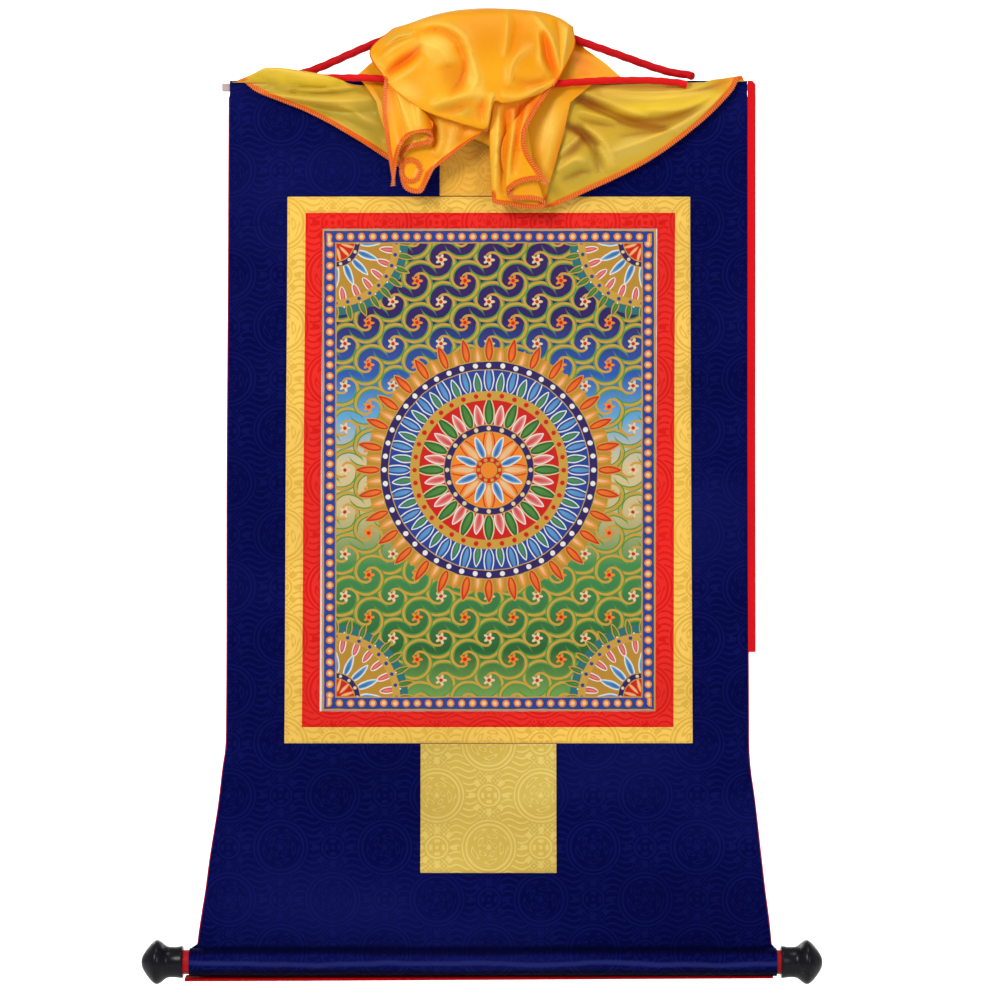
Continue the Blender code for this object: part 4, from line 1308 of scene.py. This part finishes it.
def build_ground(material):
    """The four navy panels."""
    side = YELLOW.top_right + SEAM_GAP
    foot = YELLOW.top + SEAM_GAP
    left, right = EDGES[0].left, EDGES[0].right
    lower = UPPER_SEAM + SEAM_GAP / 2
    outline = [
        (left, 0.0),
        (right, 0.0),
        (right, lower),
        (side, lower),
        (side, foot),
        (-side, foot),
        (-side, lower),
        (left, lower),
    ]
    parts = ((left, -side), (-side, side), (side, right))
    xs = merged(*(seam_spread(*ends, PANEL_STEP) for ends in parts))
    upper = seam_spread(UPPER_SLEEVE[-1].z, foot, PANEL_STEP)[1:]
    zs = upper + seam_spread(foot, lower, PANEL_STEP)[1:]
    places = list(range(len(UPPER_SLEEVE)))
    sleeve = [Vector((0, row.depth, row.z)) for row in UPPER_SLEEVE]
    grid = []
    for stop in spread(0, places[-1], 1 / 3):
        point = smooth_between(places, sleeve, stop)
        grid.append([Vector((x, point.y - crumple(x, point.z, 30.0, 0.2), point.z)) for x in xs])
    notch_row = len(grid) + len(upper) - 1
    grid += [[on_cloth(x, z, CLOTH_THICK / 2, outline) for x in xs] for z in zs]

    def outside_notch(i, j):
        return i < notch_row or abs(xs[j] + xs[j + 1]) / 2 > side

    top = sheet_object("ground_top_cloth", grid, CLOTH_THICK, material, outside_notch)
    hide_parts("ground_top")
    for name, way in (("ground_left", -1), ("ground_right", 1)):
        outer = left if way < 0 else right
        zs = seam_spread(UPPER_SEAM - SEAM_GAP / 2, LOWER_SEAM + SEAM_GAP / 2, PANEL_STEP)
        inner_top, inner_bottom = way * side, way * (YELLOW.bottom_right + SEAM_GAP)
        outline = [(outer, zs[0]), (inner_top, zs[0]), (inner_bottom, zs[-1]), (outer, zs[-1])]
        grid = []
        for z in zs:
            down = (YELLOW.top - z) / (YELLOW.top - YELLOW.bottom)
            edge = YELLOW.top_right + (YELLOW.bottom_right - YELLOW.top_right) * down
            steps = seam_spread(*sorted((outer, way * (edge + SEAM_GAP))), PANEL_STEP)
            grid.append([on_cloth(x, z, CLOTH_THICK / 2, outline) for x in steps])
        obj = sheet_object(f"{name}_cloth", grid, CLOTH_THICK, material)
        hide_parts(name)
    build_ground_bottom(material)


def build_ground_bottom(material):
    """The flaring panel, drawn in above the roll and wrapped round the dowel."""
    left, right = EDGES[0].left, EDGES[0].right
    xs = seam_spread(left, right, 8.0)
    zs = seam_spread(LOWER_SEAM - SEAM_GAP / 2, ROLL_GROOVE[0].z, 6.0)[:-5]
    outline = [(left, zs[0]), (right, zs[0]), (right, -1000.0), (left, -1000.0)]
    grid = [[on_cloth(x, z, CLOTH_THICK / 2, outline) for x in xs] for z in zs]
    for depth, z in smooth_rows(ROLL_GROOVE, 1 / 3):
        grid.append([Vector((cloth_edge(x, z), depth - crumple(x, z, 40.0, 0.4), z)) for x in xs])
    middle = (SLEEVE_LEFT + SLEEVE_RIGHT) / 2
    stretch = (SLEEVE_RIGHT - SLEEVE_LEFT) / (xs[-1] - xs[0])
    for angle in spread(SLEEVE_START, SLEEVE_END, 7.0):
        turn = math.radians(angle)
        row = []
        for x in xs:
            place = middle + (x - (xs[0] + xs[-1]) / 2) * stretch
            radius = SLEEVE_RADIUS + 0.35 * noise.noise(Vector((place / 38.0, turn * 2.2, 1.3)))
            depth = -ROLL_AHEAD - radius * math.sin(turn)
            row.append(Vector((place, depth, ROLL_Z + radius * math.cos(turn))))
        grid.append(row)
    obj = sheet_object("ground_bottom_cloth", grid, CLOTH_THICK, material)
    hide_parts("ground_bottom")


def build_lining(material):
    """The red back cloth with its lip under the roll."""
    wider = (EDGES[0].right + LINING_WIDER) / EDGES[0].right
    xs = spread(EDGES[0].left, EDGES[0].right, LINING_STEP)
    zs = spread(LINING_TOP, LINING_TAIL[0].z, LINING_STEP)[:-1]
    grid = [[on_cloth(x, z, LINING_DEPTH) for x in xs] for z in zs]
    for depth, z in smooth_rows(LINING_TAIL, 1 / 4):
        lip = smooth_step(*LIP_RISES, -z) * LINING_LIP_RISE
        rises = [lip * (x - xs[0]) / (xs[-1] - xs[0]) for x in xs]
        grid.append([Vector((cloth_edge(x, z), depth, z + up)) for x, up in zip(xs, rises)])
    for points in grid:
        for point in points:
            point.x *= wider
            beneath = smooth_step(*LIP_BELOW, -point.z) * smooth_step(*LIP_LEFT, -point.x)
            point.x -= LIP_BEYOND * beneath
    obj = sheet_object("lining_cloth", grid, LINING_THICK, material)
    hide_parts("lining")


def build_tape(material):
    """The red tape beside the navy cloth's right edge."""
    low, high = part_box("side_strip")
    top, bottom = high.z / MM, low.z / MM
    outer = high.x / MM
    grid = []
    for z in seam_spread(top, bottom, PANEL_STEP):
        inner = column(EDGES[::-1], "right", z, "z") + TAPE_GAP
        rounded = outer - TAPE_ROUND * (1 - smooth_step(0.0, TAPE_ROUND_TALL, top - z))
        depth = CLOTH_THICK / 2 - swell(EDGES[0].right, z) - crumple(260.0, z, 30.0, 0.3)
        grid.append([Vector((inner + (rounded - inner) * s, depth, z)) for s in spread(0, 1, 0.2)])
    obj = sheet_object("side_strip_cloth", grid, TAPE_THICK, material)
    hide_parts("side_strip")


def build_frame(name, outer, inner, material, thread):
    """Four mitred strips between two panels."""
    inner = shrunk(inner, -SEAM_GAP)
    outer = shrunk(outer, SEAM_GAP / 2)
    close = SEAM_LINES[:4]
    for k, side in enumerate(("top", "right", "bottom", "left")):
        start, end = CORNERS[k], CORNERS[(k + 1) % 4]
        ends = [Vector(corner_point(panel, *c)) for panel in (outer, inner) for c in (start, end)]
        long = (ends[1] - ends[0]).length
        wide = (ends[2] - ends[0]).length / math.sqrt(2)
        outline = [tuple(ends[0]), tuple(ends[1]), tuple(ends[3]), tuple(ends[2])]
        grid = []
        down = (*close, wide / 2, *(wide - d for d in reversed(close)))
        for t in (d / wide for d in down):
            row = []
            for s in (d / long for d in seam_spread(0, long, 7.0)):
                place = ends[0].lerp(ends[1], s).lerp(ends[2].lerp(ends[3], s), t)
                row.append(on_cloth(place.x, place.y, CLOTH_THICK / 2, outline))
            grid.append(row)
        node = f"{name}_{side}"
        obj = sheet_object(f"{node}_cloth", grid, CLOTH_THICK, material)
        lines = []
        for t in (TOPSTITCH_IN / wide, 1 - TOPSTITCH_IN / wide):
            lines.append((ends[0].lerp(ends[2], t), ends[1].lerp(ends[3], t)))
        sewn = topstitch(f"{node}_stitches", lines, outline, 0.0, thread)
        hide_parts(node)


def station(rows, across):
    """The veil's place at one station of its front, at a share across it."""
    return Vector((
        column(rows, "x", across, "across"),
        -column(rows, "ahead", across, "across"),
        column(rows, "z", across, "across"),
    ))


def veil_sections(across):
    """Places along the veil and its points there, for one line from its sewn edge to its hem."""
    belly = math.sin(math.pi * across)
    crest = {name: column(VEIL_CREST, name, across, "across") for name in ("z", "ahead")}
    places, points = [], []
    for row in VEIL_BACK:
        x = row.left_x + (row.right_x - row.left_x) * across
        level = row.left_z + (row.right_z - row.left_z) * across
        level += (row.middle_z - (row.left_z + row.right_z) / 2) * belly
        if row.along == CREST_ALONG:
            level = crest["z"]
        places.append(row.along)
        points.append(Vector((x, -row.ahead - row.forward * crest["ahead"], level)))
    top, puff = station(VEIL_TOP, across), station(VEIL_PUFF, across)
    brow = Vector((
        top.x + (puff.x - top.x) * BROW_X,
        top.y + (puff.y - top.y) * BROW_AHEAD,
        top.z + (puff.z - top.z) * BROW_Z,
    ))
    pouch = station(VEIL_POUCH, across)
    tuck = Vector((pouch.x, -column(VEIL_POUCH, "under", across, "across"), pouch.z + TUCK_RISE))
    places += [WRAP_ALONG, TOP_ALONG, BROW_ALONG, PUFF_ALONG, POUCH_ALONG, TUCK_ALONG]
    points += [top + Vector((0, WRAP_BEHIND, -WRAP_DROP)), top, brow, puff, pouch, tuck]
    places += [EAR_ALONG, 1.0]
    points += [station(VEIL_EAR, across), station(VEIL_HEM, across)]
    return places, points


def crease_height(row, along, x, z):
    """How far one crease lifts each point of the veil, all as arrays."""
    corners = [Vector((row.x1, row.z1)), Vector((row.x2, row.z2))]
    corners += [Vector((row.x3, row.z3)), Vector((row.x4, row.z4))]
    line = [smooth_between([0, 1, 2, 3], corners, s) for s in spread(0.0, 3.0, 0.25)]
    away = np.full(x.shape, 1e9)
    reached = np.zeros(x.shape)
    for k, (a, b) in enumerate(zip(line, line[1:])):
        step = b - a
        t = np.clip(((x - a.x) * step.x + (z - a.y) * step.y) / step.length_squared, 0, 1)
        distance = np.hypot(x - a.x - t * step.x, z - a.y - t * step.y)
        reached = np.where(distance < away, (k + t) / (len(line) - 1), reached)
        away = np.minimum(away, distance)
    profile = np.exp(-((away / row.width) ** 1.25))
    taper = np.sin(np.pi * np.clip(reached, 0, 1)) ** 0.5
    return row.height * profile * taper * layer_share(row, along)


def layer_share(row, along):
    """How much of a crease or tone is on each place along the veil."""
    share = np.clip((along - row.start) / CREASE_FADE, 0, 1)
    if row.end < 1:
        share = share * np.clip((row.end - along) / CREASE_FADE, 0, 1)
    return share


def eased(low, high, values):
    """smooth_step for an array."""
    t = np.clip((values - low) / (high - low), 0, 1)
    return t * t * (3 - 2 * t)


def edge_distance(places):
    """How far each place is from the line of the first row, for the rows beside it."""
    edge, last = places[0], len(places[0]) - 1
    here = np.arange(last + 1)
    best = np.full(places.shape[:2], np.inf)
    beside = places[:HEM_ROWS]
    for shift in range(-HEM_WINDOW, HEM_WINDOW):
        start = edge[np.clip(here + shift, 0, last)]
        step = edge[np.clip(here + shift + 1, 0, last)] - start
        t = ((beside - start) * step).sum(2) / np.maximum((step**2).sum(1), 1e-9)
        gap = beside - start - np.clip(t, 0, 1)[..., None] * step
        best[:HEM_ROWS] = np.minimum(best[:HEM_ROWS], np.linalg.norm(gap, axis=2))
    return best


def hem_width(along):
    """How wide the side hems show at places along the veil."""
    return np.interp(along, [row.along for row in HEM_WIDTHS], [row.wide for row in HEM_WIDTHS])


def hem_share(places, along):
    """How much of each place lies in the hem's band along the two sides and the lower edge."""
    turned = places.transpose(1, 0, 2)
    sides = np.minimum(edge_distance(turned), edge_distance(turned[::-1])[::-1]).T
    wide = hem_width(along)
    beside = np.where(wide > 0, sides - wide, np.inf)
    beyond = edge_distance(places[::-1])[::-1] - HEM_WIDE
    return 1 - eased(-HEM_SOFT, HEM_SOFT, np.minimum(beside, beyond))


def veil_colours(places, along, across, lift):
    """The silk's colour at each place: sheer olive gold on the wings, golden orange where it is
    gathered, soft patches of painted shade and highlight, painted shade in creases and painted
    highlights on ridges, and deep orange along its stitched hem."""
    x, z = places[:, :, 0], places[:, :, 2]
    gathered = eased(0.3, 0.36, along)[..., None]
    lumps = np.array([
        [0.5 + 0.5 * noise.noise(Vector((u * 7, v * 9, 2.0))) for u, v in zip(*rows)]
        for rows in zip(across, along)
    ])[..., None]
    full = np.array(SILK_ORANGE) + (np.array(SILK_GOLD) - np.array(SILK_ORANGE)) * lumps
    colour = np.array(SILK_SHEER) + (full - np.array(SILK_SHEER)) * gathered

    def tinted(share, tint):
        return colour + (np.array(tint) - colour) * share[..., None]

    # Soft tone patches, most of them painted shade and painted highlights.
    for row in VEIL_TONES:
        turned = math.radians(row.turned)
        dx, dz = x - row.x, z - row.z
        over = (dx * math.cos(turned) + dz * math.sin(turned)) / row.wide
        up = (dz * math.cos(turned) - dx * math.sin(turned)) / row.tall
        within = np.exp(-((over**2 + up**2) ** 1.4))
        colour = tinted(row.share * within * layer_share(row, along), row.tint)
    # Painted shade in the creases: deep orange where the silk is gathered, brown on the right wing
    # and olive on the left; then painted highlights on the ridges.
    low = np.clip(-lift / 6, 0, 0.6)
    colour = tinted(low * gathered[..., 0], SILK_SHADE)
    wings = low * (1 - gathered[..., 0])
    colour = tinted(np.where(x > 0, wings * 0.8, 0), SILK_BROWN_SHADE)
    colour = tinted(np.where(x > 0, 0, wings), SILK_OLIVE)
    colour = tinted(np.clip(lift / 7, 0, 0.55), SILK_HIGHLIGHT)
    return tinted(hem_share(places, along), HEM_ORANGE)


def add_tube(shape, line, radius, sides):
    """Adds a closed tube along a line of points to a bmesh."""
    rings = []
    for k, point in enumerate(line):
        ahead = (line[min(k + 1, len(line) - 1)] - line[max(k - 1, 0)]).normalized()
        side = ahead.orthogonal().normalized() if not rings else side - ahead * side.dot(ahead)
        side.normalize()
        over = ahead.cross(side)
        ring = []
        for s in range(sides):
            turn = 2 * math.pi * s / sides
            offset = (side * math.cos(turn) + over * math.sin(turn)) * radius
            ring.append(shape.verts.new(to_frame(point + offset)))
        rings.append(ring)
    skin(shape, rings)


def hem_runs(grid, along_steps):
    """The hemmed edges of the veil, each as a run of lines that go in from the edge. A line is a
    list of points and their unit normals."""
    last_j = len(grid[0]) - 1
    hemmed = [
        i
        for i, along in enumerate(along_steps)
        if along > STITCHED_FROM and hem_width(along) > HEM_WIDE - 0.1
    ]
    wings = [i for i in hemmed if along_steps[i] < WRAP_ALONG]
    ears = [i for i in hemmed if along_steps[i] > WRAP_ALONG]

    def line(places):
        return [(grid[i][j], normal_at(grid, i, j)) for i, j in places]

    runs = []
    for rows in (wings, ears):
        runs.append([line([(i, j) for j in range(HEM_ROWS)]) for i in rows])
        runs.append([line([(i, last_j - j) for j in range(HEM_ROWS)]) for i in rows])
    last_i = len(grid) - 1
    runs.append([line([(last_i - i, j) for i in range(HEM_ROWS)]) for j in range(last_j + 1)])
    return runs


def point_in(line, inward):
    """The point and normal of a line at a distance in from the edge."""
    gone = 0.0
    for (a, na), (b, nb) in zip(line, line[1:]):
        step = (b - a).length
        if gone + step >= inward:
            t = (inward - gone) / step
            return a.lerp(b, t), na.lerp(nb, t)
        gone += step
    return line[-1]


def hem_place(run, reached, s, inward):
    """The point and normal at a distance along a hemmed edge and a distance square in from it."""
    k = min(len(run) - 2, max(0, int(np.searchsorted(reached, s)) - 1))
    along = (run[k + 1][0][0] - run[k][0][0]).normalized()
    lean = (point_in(run[k], inward + 1.0)[0] - run[k][0][0]).normalized().dot(along)
    lean = max(-HEM_LEAN, min(HEM_LEAN, lean))
    inward /= math.sqrt(1 - lean * lean)
    s -= inward * lean
    k = min(len(run) - 2, max(0, int(np.searchsorted(reached, s)) - 1))
    t = (s - reached[k]) / max(1e-6, reached[k + 1] - reached[k])
    a, na = point_in(run[k], inward)
    b, nb = point_in(run[k + 1], inward)
    return a.lerp(b, t), na.lerp(nb, t).normalized()


def curl_share(places, along, across):
    """How much of each place lies in the hem's curled-up ring at the foot of the left ear."""
    dx, dz = places[:, :, 0] - CURL_X, places[:, :, 2] - CURL_Z
    round_size = np.hypot(dx / CURL_WIDE, dz / CURL_TALL)
    away = np.abs(round_size - 1) * (CURL_WIDE + CURL_TALL) / 2
    share = 1 - eased(HEM_WIDE / 2 - HEM_SOFT, HEM_WIDE / 2 + HEM_SOFT, away)
    return share * (along > CURL_ALONG) * (across < CURL_ACROSS)


def front_point(grid, x, z):
    """A point just ahead of the ears' front layer at a place."""
    near = []
    for row in grid[len(grid) * 3 // 4:]:
        near.extend((math.hypot(p.x - x, p.z - z), p.y) for p in row[: len(row) // 2])
    near = sorted(near)[:5]
    weights = [1 / (d + 0.2) for d, _ in near]
    depth = sum(w * y for w, (_, y) in zip(weights, near)) / sum(weights)
    return Vector((x, depth - STITCH_LIFT, z))


def add_curl_stitches(shape, grid):
    """Adds the stitches round the curled-up ring of hem."""
    count = round(math.pi * (CURL_WIDE + CURL_TALL) / STITCH_APART)
    for k in range(count):
        turn = 2 * math.pi * k / count
        bar = []
        for out in CURL_BAR:
            bend = turn + out * STITCH_SLANT / 40
            x = CURL_X + math.cos(bend) * (CURL_WIDE + out)
            z = CURL_Z + math.sin(bend) * (CURL_TALL + out)
            bar.append(front_point(grid, x, z))
        add_tube(shape, bar, STITCH_RADIUS, STITCH_SIDES)


def build_stitches(grid, along_steps, material):
    """The overlock stitches: short slanted threads that go over the veil's hemmed edges."""
    shape = bmesh.new()
    for run in hem_runs(grid, along_steps):
        edge = [line[0][0] for line in run]
        reached = np.cumsum([0.0] + [(b - a).length for a, b in zip(edge, edge[1:])])
        for s in spread(1.0, reached[-1] - 1.5, STITCH_APART):
            bar = []
            for inward, side, slant in STITCH_BAR:
                point, normal = hem_place(run, reached, s + slant * STITCH_SLANT, inward)
                bar.append(point + normal * side * STITCH_LIFT)
            inner, _ = hem_place(run, reached, s, 1.2)
            out, _ = hem_place(run, reached, s, 0.0)
            bar.insert(3, out + (out - inner).normalized() * STITCH_LIFT)
            add_tube(shape, bar, STITCH_RADIUS, STITCH_SIDES)
    add_curl_stitches(shape, grid)
    return mesh_object("veil_stitches", shape, material, sharp=70)


def build_veil(silk_cloth, thread):
    """The silk sheet on its solid's folds, with its creases, tints, painted shade and highlights, and
    stitched hem.
    """
    across_steps = merged(
        spread(0.0, 0.012, 0.002), spread(0.012, 0.988, 0.0058), spread(0.988, 1.0, 0.002)
    )
    along_steps = merged(
        spread(0.0, 0.33, 0.003),
        spread(0.33, 0.55, 0.022),
        spread(0.55, 0.755, 0.003),
        spread(0.755, 0.984, 0.0034),
        spread(0.984, 1.0, 0.0016),
    )
    lines = [veil_sections(across) for across in across_steps]
    grid = [
        [smooth_between(places, points, along) for places, points in lines]
        for along in along_steps
    ]
    places = np.array(grid)
    along = np.array(along_steps)[:, None] * np.ones(len(across_steps))
    across = np.ones((len(along_steps), 1)) * np.array(across_steps)
    lift = sum(crease_height(row, along, places[:, :, 0], places[:, :, 2]) for row in VEIL_CREASES)
    curled = curl_share(places, along, across)
    for i, row in enumerate(grid):
        for j, point in enumerate(row):
            lowest = max(point.y, -swell(point.x, point.z) - WING_CLEARS)
            point.y -= lift[i, j] + curled[i, j] * CURL_RISE
            if lift[i, j] < 0 and along_steps[i] < WRAP_ALONG:
                point.y = min(point.y, lowest)
    colours = veil_colours(places, along, across, lift)
    colours += (np.array(HEM_ORANGE) - colours) * curled[..., None]
    veil = sheet_object(
        "veil_silk", grid, SILK_THICK, silk_cloth, paint=lambda i, j: colours[i, j], sharp=80
    )
    stitches = build_stitches(grid, along_steps, thread)
    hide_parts("veil")
    return veil


def build_knob(node, start, way, material):
    """A turned knob on the dowel's end, outwards from start."""
    line = [(row.out, row.radius) for row in KNOB_BORE]
    line += [(row.out, max(0.0, row.radius)) for row in smooth_rows(KNOB_OUTSIDE, 1 / 4)[1:]]
    shape = bmesh.new()
    rings = []
    for out, radius in line:
        ring = []
        for k in range(KNOB_SIDES if radius > 0.05 else 1):
            turn = 2 * math.pi * k / KNOB_SIDES
            depth, z = radius * math.cos(turn) - ROLL_AHEAD, radius * math.sin(turn) + ROLL_Z
            ring.append(shape.verts.new(to_frame(Vector((start + way * out, depth, z)))))
        rings.append(ring)
    for a, b in zip(rings, rings[1:]):
        for k in range(KNOB_SIDES):
            n = (k + 1) % KNOB_SIDES
            corners = [a[k % len(a)], a[n % len(a)], b[n % len(b)], b[k % len(b)]]
            shape.faces.new(list(dict.fromkeys(corners)))
    knob = mesh_object(f"{node}_turned", shape, material, sharp=40)
    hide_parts(node)
    return knob


def repaint(node, material):
    """Gives a carried-over solid its finish."""
    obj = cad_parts[node]
    obj.data.materials.clear()
    obj.data.materials.append(material)


FLOOR_REACH, FLOOR_BELOW = 30.0, 1.45
WALL_AWAY, WALL_BEND, WALL_TALL = 5.7, 1.2, 7.0
ROOM_LIGHT = 0.32


def build_stage():
    """A pale floor that rises into a pale wall, well behind the scroll."""
    shape = bmesh.new()
    profile = [(-FLOOR_REACH, 0.0), (WALL_AWAY - WALL_BEND, 0.0)]
    for step in range(1, 13):
        turn = math.radians(90 * step / 12)
        out, up = math.sin(turn) * WALL_BEND, (1 - math.cos(turn)) * WALL_BEND
        profile.append((WALL_AWAY - WALL_BEND + out, up))
    profile.append((WALL_AWAY, WALL_TALL))
    rows = []
    for x in (-FLOOR_REACH, FLOOR_REACH):
        rows.append([shape.verts.new((x, y, z - FLOOR_BELOW)) for y, z in profile])
    for k in range(len(profile) - 1):
        shape.faces.new((rows[0][k], rows[1][k], rows[1][k + 1], rows[0][k + 1]))
    mesh = bpy.data.meshes.new("backdrop")
    shape.to_mesh(mesh)
    shape.free()
    mesh.shade_smooth()
    paper = Sums("backdrop_paper")
    paper.set(Base_Color=(0.9, 0.9, 0.9), Roughness=0.9)
    mesh.materials.append(paper.material)
    backdrop = linked("backdrop", mesh)


LAMPS = table(
    "name place size power",
    ("key", (-1.5, -2.6, 1.0), 1.2, 50.0),
    ("fill", (1.9, -2.8, 0.1), 1.6, 20.5),
    ("above", (0.2, -0.8, 1.6), 0.9, 9.0),
    ("back", (-1.6, 2.6, 0.8), 1.4, 10.0),
    ("wall_left", (-2.6, 3.1, 0.9), 2.0, 130.0),
    ("wall_right", (2.6, 3.1, 0.9), 2.0, 130.0),
)


def light_stage():
    """Soft studio light from both sides, and on the wall behind."""
    bpy.context.scene.view_settings.view_transform = "Standard"
    for lamp in LAMPS:
        data = bpy.data.lights.new(lamp.name, "AREA")
        data.shape = "DISK"
        data.size = lamp.size
        data.energy = lamp.power
        obj = linked(lamp.name, data)
        obj.location = lamp.place
        target = Vector((0, WALL_AWAY if lamp.name.startswith("wall") else 0, -0.5))
        obj.rotation_euler = (target - obj.location).to_track_quat("-Z", "Y").to_euler()
    world = bpy.data.worlds.new("pale_room")
    world.use_nodes = True
    room = world.node_tree.nodes["Background"].inputs
    room["Color"].default_value = (1, 1, 1, 1)
    room["Strength"].default_value = ROOM_LIGHT
    bpy.context.scene.world = world


BROCADES = table(
    "name ground figure rough lift shine bands",
    ("navy_brocade", (0.0012, 0.0022, 0.062), (0.0035, 0.006, 0.1), 0.7, 15e-5, 0.08, ROLL_SHADE_BANDS),
    ("yellow_brocade", (1.0, 0.63, 0.12), (0.8, 0.46, 0.06), 0.6, 12e-5, 0.1, ()),
    ("pale_gold_brocade", (0.95, 0.5, 0.07), (0.84, 0.42, 0.045), 0.5, 20e-5, 0.1, ()),
    ("red_brocade", (0.88, 0.03, 0.022), (0.72, 0.01, 0.008), 0.6, 10e-5, 0.08, ()),
    ("gold_brocade", (0.7, 0.48, 0.085), (0.86, 0.64, 0.17), 0.5, 30e-5, 0.16, ()),
)


def main():
    """Builds every finer piece over its solid, then the stage and its light."""
    set_camera()
    dark_red, bright_red = (0.56, 0.006, 0.01), (0.78, 0.01, 0.01)
    build_cord("hanging_cord", HANGING_ROUTE, HANGING_CORD, thread_silk("dark_red_cord", dark_red))
    build_cord("tie_cord", TIE_ROUTE, TIE_CORD, thread_silk("bright_red_cord", bright_red))
    navy, yellow, pale_gold, red, gold = (brocade(*row) for row in BROCADES)
    build_ground(navy)
    build_lining(plain_cloth("red_lining", (0.6, 0.002, 0.006), 0.75, 0.7))
    build_tape(plain_cloth("red_tape", (0.74, 0.001, 0.006), 0.6, 0.8))
    gold_thread = thread_silk("gold_thread", (0.86, 0.56, 0.14))
    build_frame("yellow_frame", YELLOW, RED, yellow, gold_thread)
    build_frame("red_frame", RED, PICTURE, red, thread_silk("red_thread", (0.7, 0.02, 0.015)))
    canvas = painted_cloth()
    painting = shrunk(PICTURE, SEAM_GAP / 2)
    flat_panel("picture", painting, CLOTH_THICK / 2, CLOTH_THICK, PANEL_STEP, canvas)
    flat_panel("gold_strip", GOLD_STRIP, PATCH_DEPTH, PATCH_THICK, 8.0, pale_gold, gold_thread)
    flat_panel("door_patch", DOOR_PATCH, PATCH_DEPTH, PATCH_THICK, 6.0, gold, gold_thread)
    build_veil(silk(), thread_silk("hem_thread", STITCH_ORANGE))
    black = lacquer()
    build_knob("knob_left", KNOB_LEFT, -1, black)
    build_knob("knob_right", KNOB_RIGHT, 1, black)
    repaint("bottom_dowel", wood("red_wood", (0.4, 0.004, 0.006), (0.55, 0.01, 0.012), 0.5))
    repaint("top_bar", wood("pale_wood", (0.42, 0.3, 0.27), (0.62, 0.5, 0.46), 0.6))
    build_stage()
    light_stage()


main()
